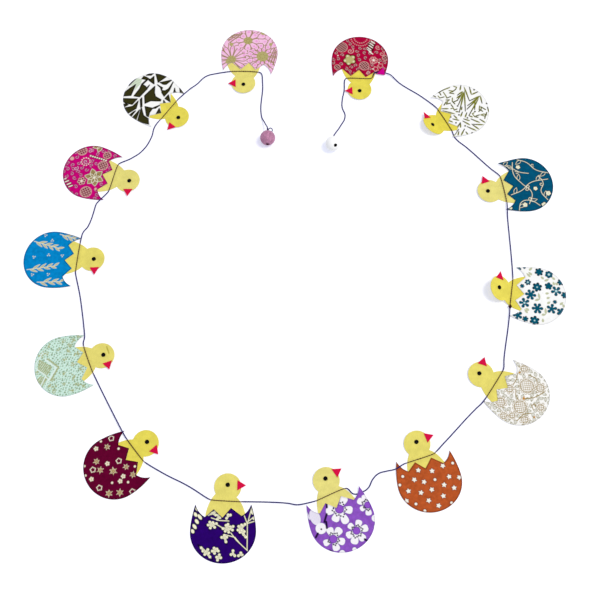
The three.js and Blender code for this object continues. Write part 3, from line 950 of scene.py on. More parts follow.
# %% Rings, curls and strewn places
CURL_FROM, CURL_POINTS = 0.12, 16  # share of its radius at which a curl starts, and points on each turn
THROWS = 2600
BOX_FROM, BOX_TO = (-23, -39, 0), (23, 2, 6.28)  # corners of a box round a shell, and a full turn
FAR = 9.0  # a distance at which no ink lies


def around(x, y, radius, count, turn=0.0):
    """Places on a circle, each with its direction."""
    for k in range(count):
        angle = turn + 2 * math.pi * k / count
        yield x + radius * math.cos(angle), y + radius * math.sin(angle), angle


def ring(x, y, radius, count, size, turn=0.0):
    """Dots on a circle."""
    return [dot(px, py, size) for px, py, _ in around(x, y, radius, count, turn)]


def ahead(x, y, angle, reach):
    """The place that lies in a direction from another."""
    return x + reach * math.cos(angle), y + reach * math.sin(angle)


def spiral(x, y, radius, turns, start):
    """Places along a curl that opens from its middle."""
    u = np.linspace(CURL_FROM, 1, int(CURL_POINTS * turns))
    angle = start + 2 * math.pi * turns * u
    return np.column_stack([x + radius * u * np.cos(angle), y + radius * u * np.sin(angle)])


def strewn(seed, room, taken):
    """Places with directions, thrown at random, that keep a room to each other and off what is taken."""
    rng = np.random.default_rng(seed)
    kept = []
    for x, y, angle in rng.uniform(BOX_FROM, BOX_TO, (THROWS, 3)):
        free = all(math.hypot(x - tx, y - ty) > size + room / 2 for tx, ty, size in taken)
        if free and all(math.hypot(x - kx, y - ky) > room for kx, ky, _ in kept):
            kept.append((x, y, angle))
    return kept


print("at most", THROWS, "motifs are strewn on a shell")

# %% [markdown]
# ## Stars on orange, stars and flowers on maroon
# Two of the papers carry small stars strewn by eye. On the orange one they are plain, with dots between.
# On the maroon one there are stars with a pale edge, little flowers, ring-shaped flowers and dots, all in
# gold. The stars could be strewn at random, but they are large enough to be told apart, so each has its
# place.

# %% Orange print
STARS_ON_ORANGE = [
    (-6, -7), (-10.5, -13), (3.5, -9.5), (12, -7.5), (-16.5, -20), (-4, -16), (14.5, -16), (-8, -23),
    (0, -22.5), (9.5, -21), (21.5, -18), (16, -24.5), (-4, -29.5), (7, -28.5), (2, -34.5), (-19.5, -26.5),
]
DOTS_ON_ORANGE = [(-18, -9), (-21.5, -14.5), (19.5, -7), (4, -16), (-13.5, -30), (11.5, -34.5), (-8.5, -36)]

stars = [
    star(x, y, radius=2, points=5, waist=0.55, turn=0.7 * k) for k, (x, y) in enumerate(STARS_ON_ORANGE)]
dots = [dot(x, y, radius=1) for x, y in DOTS_ON_ORANGE]
PRINTS["orange"] = dye(197, 92, 43), [
    (dye(140, 56, 20), drawing(*grown(stars + dots, rim=0.6))),
    (dye(252, 250, 238), drawing(*stars, *dots)),
]
print("orange:", len(stars), "stars")

# %% Maroon print
STARS_ON_MAROON = [
    (-16, -14, 2.7), (4, -9, 2.6), (11.5, -7.5, 2.8), (2, -18.5, 3.4), (-10.5, -25.5, 2.8),
    (-3.5, -26, 2.9), (18, -21.5, 3.1), (14.5, -28.5, 3.1),
]
FLOWERS_ON_MAROON = [(9, -14), (11, -17.5), (-5, -19.5), (-19, -21.5), (-1, -34.5)]
RINGS_ON_MAROON = [(-20, -8.5), (-2.5, -11.5), (-6.5, -30.5), (7.5, -32.5), (22, -13.5)]
DOTS_ON_MAROON = [(-10.5, -7.5), (7, -3.5), (14.5, -13), (9, -23), (-5.5, -37), (-22, -16), (-12, -34.5)]

gold, inside = [], []
for x, y, size in STARS_ON_MAROON:
    gold.append(star(x, y, radius=0.9 * size, points=6, waist=0.42, turn=0.5 * size))
    middle = star(x, y, radius=0.4 * size, points=6, waist=0.5, turn=0.5 * size)
    inside.append(outlined(middle, width=0.32))
pale = [outlined(distance, width=0.3) for distance in gold]
pale += [dot(x, y, radius=0.85) for x, y in DOTS_ON_MAROON]
pale += [outlined(star(x, y, radius=2.1, points=5, waist=0.72), width=0.62) for x, y in RINGS_ON_MAROON]
for x, y in FLOWERS_ON_MAROON:
    pale += ring(x, y, radius=1.1, count=5, size=0.64, turn=0.4)
    gold.append(dot(x, y, radius=0.9))
PRINTS["maroon"] = dye(104, 0, 47), [
    (dye(198, 180, 122), drawing(*gold)),
    (dye(246, 240, 212), drawing(*pale)),
    (dye(120, 62, 60), drawing(*inside)),
]
print("maroon:", len(gold) + len(pale), "motifs")

# %% [markdown]
# ## Flowers on white, blossom on lavender
# A flower is a ring of petals about a middle. Short spokes with a dot at each end give the small teal
# flowers, and broad petals give the cherry blossom. One formula for a whole flower would make them all
# alike, so the petals are separate motifs. A further ink makes the leaves or the stamens.

# %% Flower print
OPEN_FLOWERS = [  # middle, reach, petals, turn in degrees
    (-18.5, -4.2, 2.6, 5, 100), (-7.7, -7.8, 2.9, 5, 95), (-0.1, -11.5, 3.1, 6, 30),
    (-10, -18.1, 3.2, 6, 40), (-8, -28.8, 2.9, 5, 72), (7, -30.2, 2.9, 5, 40), (9.8, -24, 1.9, 5, 75),
    (-9.2, -36, 2.3, 5, 130), (19.3, -23, 1.9, 6, 0),
]
FULL_FLOWERS = [  # middle and size
    (-20, -17.3, 3.6), (7, -15.5, 3.6), (19.8, -15.3, 3.2), (-20.2, -10.3, 2.3), (9.5, -8, 2.4),
    (14.8, -32.6, 2.6), (5, -37, 2.7), (18.8, 0.5, 2.1), (21, -3.8, 1.1), (-2, -30.4, 1.6),
    (5.6, -4.2, 1.7),
]
WHITE_EYES = [
    (-7.7, -7.8, 0.8), (7, -30.2, 1), (19.3, -23, 0.9), (-20, -17.3, 0.6), (7, -15.5, 0.6), (9.5, -8, 0.7),
]
PALE_LEAVES = [  # foot and tip
    ((-15.5, -11.5), (-12.5, -8.3)), ((-13, -12.3), (-11.8, -9)), ((14, -9.5), (17, -5.8)),
    ((16, -10.5), (18.2, -7.2)), ((19.3, -7.6), (22.6, -9.8)), ((-4.2, -15.2), (-2, -19.2)),
    ((-2, -18.7), (2.6, -17)), ((14.5, -19.7), (16.6, -17)), ((13.3, -20.3), (15.5, -23.7)),
    ((-20.2, -23.7), (-17, -23.2)), ((-14.5, -21.8), (-13.4, -25.2)), ((-13.2, -25), (-8, -24)),
    ((-4.7, -24.7), (-2.4, -27.2)), ((-0.6, -23.8), (0.9, -26.3)), ((3, -22.3), (4.2, -25.2)),
    ((11.3, -28.3), (14.2, -26.8)), ((12, -30.8), (13.6, -28.6)), ((16, -28.2), (17.6, -25.3)),
    ((-3.6, -34.3), (-0.9, -36.7)), ((-5.2, -38), (-2.4, -36.4)),
]

teal, tips = [], []
for x, y, reach, petals, turn in OPEN_FLOWERS:
    for px, py, _ in around(x, y, reach, petals, math.radians(turn)):
        teal.append(line([(x, y), (px, py)], width=1.8))
        tips.append(dot(px, py, radius=1.25))
for k, (x, y, size) in enumerate(FULL_FLOWERS):
    teal.append(dot(x, y, radius=0.72 * size))
    tips += ring(x, y, radius=0.74 * size, count=6, size=0.34 * size, turn=k)
white_paper = dye(254, 254, 252)
PRINTS["flower"] = white_paper, [
    (dye(196, 200, 166), drawing(*[leaf(*ends, width=1.9) for ends in PALE_LEAVES])),
    (dye(0, 40, 54), drawing(*tips)),
    (dye(0, 86, 110), drawing(*teal)),
    (dye(190, 226, 228), drawing(*[dot(*eye) for eye in WHITE_EYES])),
]
print("flower:", len(OPEN_FLOWERS) + len(FULL_FLOWERS), "flowers")

# %% Blossom print
BLOSSOMS = [  # middle, its size, then the middle of each petal
    ((1, -8.2), 2.7, [(-5.8, -7.2), (-3.6, -13.2), (1.9, -16.2), (7, -11), (6, -3.2), (-3.5, -3.2)]),
    ((-10.5, -26.3), 2.5, [(-10.5, -20.3), (-5.2, -22.5), (-5.6, -29.7), (-10.6, -32.3), (-15.8, -27)]),
    ((7, -26.5), 2.3, [(4.3, -22.2), (10.3, -22), (13, -26.9), (9, -32.2), (3.4, -32.2), (1.3, -27.4)]),
    ((20.8, -12.3), 2, [(17, -8.2), (21, -6.8), (16.6, -13.4), (19.6, -17.4)]),
]
BUDS = [((-17.6, -1.8), (-17, -13.5), 7.2), ((-22, -1), (-21.4, -8), 1.6)]
LOOSE_PETALS = [(-16, -16.5, 3.9), (22.6, -22.8, 2.6), (21.8, -29, 2.4), (-8, -37.6, 2.2), (1, -38.2, 1.6)]
TWIGS = [
    [(-12.2, -13), (-8.8, -8.5)], [(-7, -4), (-6, -0.8)], [(-21.6, -21), (-19.3, -19)],
    [(-12, -17.5), (-11, -13.4)], [(10.3, -34), (11.6, -35.8)], [(-15.5, -33), (-14.3, -34.2)],
]
STAMENS = [(-0.28, 0.62), (0.28, 0.62), (0, 0.75)]  # lean, and share of the way to the middle of the petal
DEEP_LILAC = dye(98, 48, 156)

white = [dot(*item) for item in LOOSE_PETALS]
buds = [oval(*bud) for bud in BUDS]
middles = [dot(*middle, size) for middle, size, _ in BLOSSOMS]
black = [line(twig, width=1.5) for twig in TWIGS] + [dot(-16, -17, radius=0.65)]
for (x, y), _, petals in BLOSSOMS:
    for px, py in petals:
        angle, reach = math.atan2(py - y, px - x), math.hypot(px - x, py - y)
        foot, tip = ahead(x, y, angle, 0.15 * reach), ahead(px, py, angle, 0.42 * reach)
        white.append(petal(foot, tip, width=min(0.9 * reach, 5.8)))
        black += [dot(*ahead(x, y, angle + lean, share * reach), radius=0.6) for lean, share in STAMENS]
PRINTS["lavender"] = dye(150, 90, 204), [
    (DEEP_LILAC, drawing(*grown(white + buds, rim=0.35))),
    (dye(238, 232, 248), drawing(*buds)),
    (dye(253, 251, 255), drawing(*white)),
    (DEEP_LILAC, drawing(*[outlined(middle, width=1) for middle in middles])),
    (dye(150, 84, 204), drawing(*middles)),
    (dye(30, 14, 58), drawing(*black)),
]
print("lavender:", len(BLOSSOMS), "blossoms")

# %% [markdown]
# ## Sprigs on purple, bamboo on dark olive
# A lobed leaf is a fan of ovals from one middle, and the purple paper has clusters of them on branching
# stems. On the other paper white bamboo leaves cover so much that the dark patches left between them are
# easier to draw, so here the white is the paper and the dark is the ink.

# %% Purple print
CLUSTERS = [  # the lobes of each leaf
    [(-9.5, -10), (-10.6, -12), (-9, -14), (-7.3, -10.3), (-6, -13.6), (-4.8, -11)],
    [(0, -14.5), (2, -12.3), (3.4, -11.5), (5, -13.3), (7, -13), (6.6, -15.5), (4, -17), (1.6, -16.3)],
    [(11, -13), (13, -12), (15.4, -11.5), (10.5, -15.5), (12, -17), (15, -16.5)],
    [(12.5, -16), (14.5, -18.5), (16, -20.3)], [(-0.8, -20.6), (1, -19.2), (2.7, -20.5), (2.2, -23.6)],
    [(-15, -27.8), (-13.8, -30), (-12.4, -32.3), (-10.4, -29), (-9.6, -31.3), (-8.8, -34)],
    [(-6, -28), (-4, -28.6), (-3, -30), (-5.6, -31.5), (-7.2, -30)],
    [(-2.2, -32.6), (-1.2, -34.6), (-4, -34.2), (-3.4, -36.2)], [(7.3, -29.8), (6, -32.4), (8.6, -33.2)],
    [(11.2, -33.2), (12.8, -31.3), (13.9, -32.8)], [(-10.6, -4.6), (-8, -3.6), (-6, -2.6), (-5.4, -5)],
    [(-3.6, -5), (-2.4, -6.8), (-4.2, -8)], [(2.3, -7.3), (3.2, -4.8), (5, -5)],
]
PURPLE_STEMS = [
    [(17.5, -29.8), (9.5, -22.5), (5.5, -17.5)], [(12, -24.8), (8.5, -20.6), (1, -18.6)],
    [(17.2, -29.5), (17, -11), (14.8, -5.5)], [(17, -10), (21.8, -6)], [(17.2, -10.8), (23, -9)],
    [(17.6, -9), (20, 0)], [(-8.5, -7), (-3, -8.8), (4, -9.2)], [(-4, -12), (0.5, -14.5)],
]
EDGE_LEAVES = [  # foot and tip
    ((-19.6, 0.6), (-18, -2)), ((-18, -4.6), (-15.4, -8)), ((-20.8, -3.2), (-18.8, -6)),
    ((-19.8, -8), (-17.6, -11)), ((-21.4, -11.5), (-19, -14.6)), ((-22.4, -15), (-20.6, -17.6)),
    ((20.4, -1.4), (20.8, -4.6)), ((20.6, -6.8), (23, -7.8)),
]

cream = [line(stem, width=0.6) for stem in PURPLE_STEMS] + [oval(*ends, width=2.2) for ends in EDGE_LEAVES]
veins = []
for lobes in CLUSTERS:
    middle = np.mean(lobes, axis=0)
    for lobe in lobes:
        out = np.subtract(lobe, middle)
        cream += [oval(middle - 0.2 * out, middle + 1.25 * out, width=1.35), dot(*lobe, radius=0.95)]
        veins.append(line([middle + 0.2 * out, middle + 0.9 * out], width=0.24))
PRINTS["purple"] = dye(45, 0, 112), [
    (dye(18, 0, 50), drawing(*grown(cream, rim=0.55))),
    (dye(255, 253, 216), drawing(*cream)),
    (dye(104, 88, 108), drawing(*veins)),
]
print("purple:", len(CLUSTERS), "lobed leaves")

# %% Bamboo print
DARK_PATCHES = [
    [
        (-9.8, -21), (-5, -17), (-3, -14), (-3.7, -8.6), (-2.5, -8), (0, -11), (2.5, -14.3), (7.2, -16.2),
        (2.3, -21.2),
    ],
    [(6.5, -8.4), (11, -7.6), (14.5, -5.7), (14.8, -7.5), (9.3, -14.2)],
    [(0.3, -5.7), (5, -6.5), (7.2, -8.8), (4, -7.5)],
    [(15.9, -4.6), (17.5, -3), (19.4, -1), (21.5, -5.5), (22.9, -10), (12, -15.8), (16.2, -9.5)],
    [(5, -21.7), (7, -21.6), (12, -16.6), (11, -16)],
    [(14.5, -15.6), (22.9, -11.6), (23.2, -15.3), (18, -15.5)],
    [(17, -17.6), (23.2, -16.8), (23, -18.7), (19, -18.3)],
    [(9, -22), (15, -18.7), (22.5, -20.6), (21, -26.4), (15.5, -22.3)],
    [(16.8, -26), (20.4, -27.2), (19, -29.2), (17.4, -28)],
    [(8, -24), (14.5, -23.8), (17.2, -29), (16.8, -32.2), (15.5, -33.6)],
    [(-1, -34.2), (9, -30.2), (13.4, -34.6), (11, -36.2), (4, -35.4)],
    [(-4, -24), (5.5, -23.8), (7.8, -28), (0, -29), (-4.5, -30.7), (-5, -27)],
    [(-8, -25.3), (-5, -24.4), (-5.2, -25.2)], [(-11, -23), (-10.8, -28.4), (-16.3, -28)],
    [(-22.4, -20), (-14.3, -21.5), (-19, -28.2), (-20.4, -26)],
    [(-23.2, -14.4), (-17, -15.2), (-15.6, -17), (-15.2, -20.2)],
    [(-12.8, -15.2), (-10.2, -14), (-11.7, -16.5), (-12.2, -20.4)],
    [(-22.6, -12.4), (-14, -9), (-7.6, -8.7), (-9, -12.6), (-10.5, -13.8), (-12, -11.6), (-15, -10.8)],
    [(-10.9, -7), (-7, -1.2), (-6.5, -6.7)], [(-4.7, -6.5), (-3.6, -3), (-2.8, -5)],
    [(3.2, -4.2), (5.3, -0.4), (8.8, -2.6)], [(-20.4, 2), (-17.6, 0.2), (-21.6, -4.2), (-22, -2)],
    [(-16.8, -1.6), (-14.3, -4.6), (-19, -7.4), (-16.6, -4.6)],
    [(-18.6, -30.2), (-15.6, -30.4), (-13, -33.4), (-15, -33)],
    [(-12, -28.8), (-10.6, -29.6), (-8.2, -34), (-11, -34.4), (-11.8, -32)],
    [(-11, -29.7), (-4.8, -29.8), (-4.8, -30.7), (-11, -30.5)],
    [(-5, -37.9), (3.4, -37.6), (2, -38.6), (-4, -38.8)],
]
PALE_BLADE = [(-8, -33.5), (-4, -31.5), (4, -31), (-1.5, -33.8), (3, -36.8), (-6, -37.4)]

pale = patch(PALE_BLADE)
dark = [patch(corners) for corners in DARK_PATCHES]
PRINTS["leaf"] = dye(253, 253, 250), [
    (dye(222, 234, 212), drawing(pale)),
    (dye(190, 208, 178), drawing(hatched(pale, slope=0.3, gap=1.5, width=0.7))),
    (dye(20, 18, 4), drawing(*grown(dark, rim=0.45))),
    (dye(54, 52, 20), drawing(*grown(dark, rim=-0.5))),
]
print("leaf:", len(DARK_PATCHES), "dark patches")

# %% [markdown]
# ## Busy flowers on magenta, red and pink
# These papers are crowded: large flowers first, then nets, curls, rows of bars and dots, and small hooks
# in all the gaps. The large motifs have their places, and the hooks are strewn, because nobody would miss
# one. On the pink paper the rings of petals overlap, so the inner rings are drawn last and hide what lies
# under them. The reverse of the red paper is plain magenta and shows on its folded tip.

# %% Hooks in the gaps
HOOK_SIZE, HOOK_TURNS, HOOK_WIDTH = 0.46, 1.2, 0.38  # the size is a share of the room that a hook has


def hooks(seed, room, taken):
    """Small curls of line wherever there is room."""
    places = strewn(seed, room, taken)
    curls = [spiral(x, y, HOOK_SIZE * room, HOOK_TURNS, angle) for x, y, angle in places]
    return [line(curl, HOOK_WIDTH) for curl in curls]


print("a hook turns", HOOK_TURNS, "times")

# %% Magenta print, large motifs
STAR_MIDDLE = (4, -12)
STAR_TIPS = [(4.5, -4.6), (10.8, -8.6), (10.6, -15), (5, -19.8), (-2.6, -16.6), (-3, -8.2)]
SIDE_FLOWER, SIDE_TIPS = (-24, -18), [(-18, -18), (-20.5, -23.5)]
ROSETTE, BEADED_CURL = (10, -20.4), (-7, -24)
NETS = [(-8, -9.5, 3.8), (17.6, -13.6, 4.4), (-15, -30.4, 3.8), (-17.6, -9.8, 3)]
LADDER = [(-13, y) for y in np.arange(-9, -22.5, -1.9)]
ZEBRA = [
    ((12, -33), (13.6, -35)), ((13, -30.4), (15, -32.6)), ((14.4, -28), (16.4, -30)),
    ((16, -26), (17.8, -28)),
]

petals = [leaf(STAR_MIDDLE, tip, width=5) for tip in STAR_TIPS]
petals += [leaf(SIDE_FLOWER, tip, width=3.6) for tip in SIDE_TIPS]
veins = [line([STAR_MIDDLE, np.mean([STAR_MIDDLE, tip], axis=0)], width=0.5) for tip in STAR_TIPS]
pale = [outlined(distance, width=0.5) for distance in petals]
pale += [dot(*STAR_MIDDLE, radius=1), dot(*ROSETTE, radius=0.9)]
pale += [dot(*step, radius=0.75) for step in LADDER] + [line(bar, width=1) for bar in ZEBRA]
pale += ring(*BEADED_CURL, radius=3.4, count=11, size=0.55)
tan = [outlined(distance, width=0.6) for distance in ring(*ROSETTE, radius=2.1, count=6, size=1)]
for item in NETS:
    tan += [net(*item, mesh=2.5, width=0.38), outlined(dot(*item), width=0.5)]
tan += [dot(12.8, -7.2, radius=1), dot(-6, -35.4, radius=1.6)]
print("magenta:", len(petals), "petals and", len(NETS), "nets")

# %% Magenta print, hooks and inks
CURLS = [BEADED_CURL, (1, -29), (-17, -24.5)]
TAKEN = [(*STAR_MIDDLE, 6.4), (*ROSETTE, 3), (*BEADED_CURL, 3.8), (-21, -19, 2.6), (15, -30.5, 3.2)]

fine = hooks(seed=3, room=3.7, taken=NETS + TAKEN + [(*step, 0.8) for step in LADDER])
fine += [line(spiral(x, y, radius=2, turns=1.3, start=x), width=0.6) for x, y in CURLS]
dark = [dot(*item) for item in NETS] + [dot(*ROSETTE, radius=3.3)]
dark += [line(bar, width=2.2) for bar in ZEBRA]
dark += grown(petals + [line(LADDER, width=1.4)], rim=0.5) + grown(fine, rim=0.3)
PRINTS["magenta"] = dye(212, 0, 124), [
    (dye(116, 0, 58), drawing(*dark)),
    (dye(244, 172, 208), drawing(*fine)),
    (dye(222, 180, 168), drawing(*tan)),
    (dye(158, 138, 88), drawing(*petals)),
    (dye(120, 76, 70), drawing(*veins)),
    (dye(240, 236, 214), drawing(*pale)),
]
print("magenta:", len(fine), "hooks in the gaps")

# %% Red print, large motifs
FIVE_MIDDLE = (8.6, -14.8)
FIVE_TIPS = [(8.8, -9.8), (13.2, -13), (11.3, -19.2), (5, -18.8), (3.8, -13.2)]
RED_ROSETTE = (-11.2, -17.5)
RED_STARS = [(-14, -9.6, 2.6), (-17.5, -13.4, 2.6), (-8.6, -4.6, 1.8)]
RED_CURLS = [  # middle, radius, turns, direction, width
    (9, -23.4, 2.9, 1.5, 1, 0.75), (-17, -25, 2.4, 1.4, 2, 0.6), (-13, -30.6, 2.2, 1.4, 0, 0.6),
]
RED_DOTS = [(17.4, -0.4), (16.8, -2.8), (-11.8, -9.2), (-15.8, -16.2), (18.6, -17.6)]
RED_NETS = [(-4.2, -11, 4), (-20.5, -21.5, 2.6), (17.5, -6.5, 2.4)]
RED_ZEBRA = [(-8, -24.4), (-6.4, -26.2), (-6, -28.2), (-7, -30.4), (-7.4, -32.6), (-8.2, -34.8)]
LENS, ARCH = (16.5, -26, 4.6), (2.4, -38)
ARCH_ROWS = (5.6, 8.2)  # radius of each row of dots

flower = [oval(FIVE_MIDDLE, tip, width=3.9) for tip in FIVE_TIPS]
tips = [dot(*np.add(tip, 0.25 * np.subtract(FIVE_MIDDLE, tip)), radius=0.8) for tip in FIVE_TIPS]
tan = [outlined(distance, width=0.6) for distance in ring(*RED_ROSETTE, radius=2.2, count=7, size=1.1)]
for item in RED_NETS:
    tan += [net(*item, mesh=2.4, width=0.36), outlined(dot(*item), width=0.44)]
tan += [outlined(star(*item, points=5, waist=0.6), width=0.7) for item in RED_STARS]
tan += [line(spiral(*curl), width) for *curl, width in RED_CURLS]
for radius in ARCH_ROWS:
    tan += ring(*ARCH, radius, count=int(3.6 * radius), size=0.5)
tan += [hatched(dot(*LENS), slope=-1.2, gap=2.2, width=0.8), outlined(dot(*LENS), width=0.45)]
pale = [line([(x - 1.6, y + 0.9), (x + 1.4, y - 0.9)], width=0.95) for x, y in RED_ZEBRA]
pale += [dot(*RED_ROSETTE, radius=0.9)] + [dot(x, y, radius=0.6) for x, y in RED_DOTS]
print("red:", len(tan) + len(pale), "motifs")

# %% Red print, hooks and inks
RED_TAKEN = [
    (8.6, -14.6, 5.4), (*RED_ROSETTE, 3.2), (9, -23.4, 3), (-17, -25, 2.4), (-13, -30.6, 2.2), LENS,
    (-7, -30, 3), (*ARCH, 8.4), (-11, -22, 2), (-15.5, -11.5, 3.4),
]
RED_REVERSE = dye(214, 0, 146)

fine = hooks(seed=8, room=3.6, taken=RED_NETS + RED_TAKEN)
dark = [dot(*item) for item in RED_NETS + [LENS]]
dark += [dot(-7, -28, radius=3), dot(-7.4, -32.4, radius=3.4)]
dark += grown(flower, rim=0.7) + grown(fine, rim=0.3)
PRINTS["red"] = dye(184, 0, 60), [
    (dye(92, 0, 20), drawing(*dark)),
    (dye(240, 186, 186), drawing(*fine)),
    (dye(222, 166, 162), drawing(*tan)),
    (dye(190, 182, 118), drawing(*flower)),
    (dye(226, 226, 188), drawing(*tips)),
    (dye(244, 240, 226), drawing(*pale)),
]
print("red:", len(fine), "hooks in the gaps")

# %% Pink print, petals
FLOWER_HEADS = [(-11, -14, 5.3), (2.6, -28, 4), (14, -8.4, 4)]  # middle and size
PETAL_RINGS = [  # for each head, the outermost ring first: from, to, width and count of its petals
    [(15, 22, 6, 14), (10.5, 17, 5.6, 13), (6.5, 12.6, 4.8, 13), (3.4, 8.4, 3.6, 11)],
    [(13, 21, 6.6, 12), (7.6, 15, 6.4, 9), (2.2, 9.4, 5.6, 8)], [(11, 21, 5.6, 14), (2.2, 13, 3.8, 13)],
]
PETAL_LEAN, PETAL_STRAY = 0.06, 0.5  # how much petals differ in direction, in radians, and in reach
OLIVE_PATCHES = [(16, -23, 1.6), (-16.5, -26.5, 1.4), (-9, -37, 2.2), (16.5, -6, 2.2)]
STROKES = [[(8 + 2.2 * k, -35 + 0.8 * k), (17.5 + 1.5 * k, -24.5 - 1.6 * k)] for k in range(4)]
STROKES += [[(-22 + 0.9 * k, -20 - 1.5 * k), (-20.5 + 2 * k, -7 - 1.5 * k)] for k in range(3)]

rng = np.random.default_rng(4)
nearest_head = np.argmin([dot(*head) for head in FLOWER_HEADS], axis=0)
petal_edges, blush = np.full(len(spots), FAR), []
for k, (x, y, size) in enumerate(FLOWER_HEADS):
    own = nearest_head == k
    for near, far, width, count in PETAL_RINGS[k]:
        for _, _, angle in around(x, y, size, count, rng.uniform(0, 1)):
            angle, tip = rng.normal(angle, PETAL_LEAN), rng.normal(far, PETAL_STRAY)
            shape = petal(ahead(x, y, angle, near), ahead(x, y, angle, tip), width)
            rim = outlined(shape, width=0.75)
            with_petal = np.where(shape < 0, rim, np.minimum(petal_edges, rim))
            petal_edges = np.where(own, with_petal, petal_edges)
            blush.append(np.where(own, dot(*ahead(x, y, angle, tip - 2), radius=1), FAR))
print("pink:", len(blush), "petals")

# %% Pink print, middles and inks
olive = [star(x, y, size, points=10, waist=0.86, turn=x) for x, y, size in FLOWER_HEADS]
olive += [dot(*item) for item in OLIVE_PATCHES]
specks = []
for x, y, size in FLOWER_HEADS:
    for share in (0.4, 0.75):
        specks += ring(x, y, radius=share * size, count=7, size=0.4)
PRINTS["pink"] = dye(249, 196, 230), [
    (dye(242, 166, 220), drawing(*blush)),
    (dye(160, 132, 92), drawing(petal_edges, *[line(stroke, width=0.9) for stroke in STROKES])),
    (dye(184, 174, 114), drawing(*olive)),
    (dye(154, 142, 80), drawing(*specks)),
]
print("pink:", len(specks), "specks in the middles")

# %% [markdown]
# ## Fine prints: mint, gold and olive on white
# Some prints are so fine that at arm's length they read as a tint. The mint paper is rows of tiny dots on
# arcs, with a roofed flower at its foot. The gold paper is a small flower print with hatched middles. The
# olive paper has sprays of thin blades and short hooks. Where no single motif counts, they are strewn at
# random, and the others have their places.

# %% Mint print, specks
SPECK_GAP = 1.9  # between two arcs of specks, and between two specks on an arc
SPECK_STRAY = 0.3  # how far a speck strays from its place
SPECK_RADII = (0.3, 0.72)  # of the smallest and of the largest
ARC_RADII = np.arange(1, 18, SPECK_GAP)
FANS = [(-15, -3), (13, -4), (0, -14), (-21, -22), (21, -20), (0, -31)]

rng = np.random.default_rng(5)
nearest_fan = np.argmin([dot(x, y, radius=0) for x, y in FANS], axis=0)
specks, lace = np.full(len(spots), FAR), np.full(len(spots), FAR)
for k, (x, y) in enumerate(FANS):
    own = nearest_fan == k
    for radius in ARC_RADII:
        count = int(2 * math.pi * radius / SPECK_GAP)
        for px, py, _ in around(x, y, radius, count, turn=0.9 * radius):
            speck = dot(*rng.normal((px, py), SPECK_STRAY), radius=rng.uniform(*SPECK_RADII))
            specks = np.where(own, np.minimum(specks, speck), specks)
            lace = np.where(own, np.minimum(lace, dot(px + 0.95, py + 0.4, radius=0.45)), lace)
print("mint:", len(FANS), "fans of specks")

# %% Mint print, flowers and inks
TUFTS = [  # middle and size
    (5.6, -31.8, 2.2), (-12, -32.4, 2.2), (12, -30, 2), (-7, -5.4, 2.4), (6, -4.6, 2.4), (-18, -6.4, 2),
    (-11, -11.6, 2), (10.6, -11.4, 2), (-13, -27.6, 1.8), (8, -26.6, 1.8), (14.4, -26.4, 1.8), (-1, -37, 2),
    (-20, -2, 1.6), (19, -5.4, 1.8), (-15.4, -9.6, 2), (0.4, -9.8, 2), (16, -10, 1.8), (-4.4, -15.4, 1.6),
    (6, -17.6, 1.6), (-19.4, -14, 1.6), (19.6, -14.4, 1.6), (17.6, -27, 1.6), (-18, -24.6, 1.6),
    (-13.6, -18.6, 1.5), (13, -18.8, 1.5),
]
TUFT_DOTS = 8
BLOCKS = [
    [(-9, -33.4), (-1.4, -25.6), (4.6, -31), (-2.6, -35.6)],
    [(3.6, -34.6), (7.4, -31.6), (11.4, -34.6), (6, -38)],
]
EAVES = [(-8.4, -27.4), (0, -20.6), (8, -27.6)]
PALE_BANDS = [
    [(-4, -38), (4, -31), (12, -36.6)], [(-14, -30.4), (-9, -34.6), (-4.4, -38.4)],
]

brown = [line(EAVES, width=1.1)]
for block in map(patch, BLOCKS):
    brown += [hatched(block, slope=1, gap=2, width=1.3), outlined(block, width=0.6)]
for x, y, size in TUFTS:
    brown += [dot(*rng.normal((x, y), 0.45 * size), radius=0.27 * size) for _ in range(TUFT_DOTS)]
pale = [line([(x, y - 1.9) for x, y in EAVES], width=1.1)] + [line(band, width=0.9) for band in PALE_BANDS]
pale.append(line([(4.6, -31.4), (7.4, -29.4), (14, -34)], width=0.8))
PRINTS["mint"] = dye(202, 236, 220), [
    (dye(232, 248, 240), drawing(lace)),
    (dye(144, 170, 136), drawing(specks)),
    (dye(176, 184, 136), drawing(*brown)),
    (dye(230, 248, 240), drawing(*pale)),
]
print("mint:", len(TUFTS), "tufts")

# %% Gold print
ROUNDS = [  # middle and size
    (9, -17, 4.9), (-7, -22, 4.4), (-13, -8.6, 3.2), (14, -25.6, 2.8), (-13, -30, 2.4), (-20, -16, 2.2),
    (-16, -21, 2), (-0.5, -8, 2.6), (19, -8, 2.4), (2, -34, 2.2),
]
GOLD_STEMS = [
    [(-0.5, -20.5), (5, -26), (10, -28.5), (13.5, -29.5)], [(-3, -31), (-1, -28), (1.5, -29), (0.5, -31)],
    [(17, -13), (18.4, -19), (15.5, -22)], [(-17, -26), (-10, -27), (-6, -31)],
    [(2, -12), (-2, -14.5), (-3.4, -18)], [(4, -8.4), (9, -8), (13, -6)],
]
ORANGE_BERRIES = [(-0.4, -20.6, 0.9), (0.8, -20, 0.6), (14.4, -7, 0.7), (-7, -34.4, 0.7)]
LEAF_HALF = 1.7

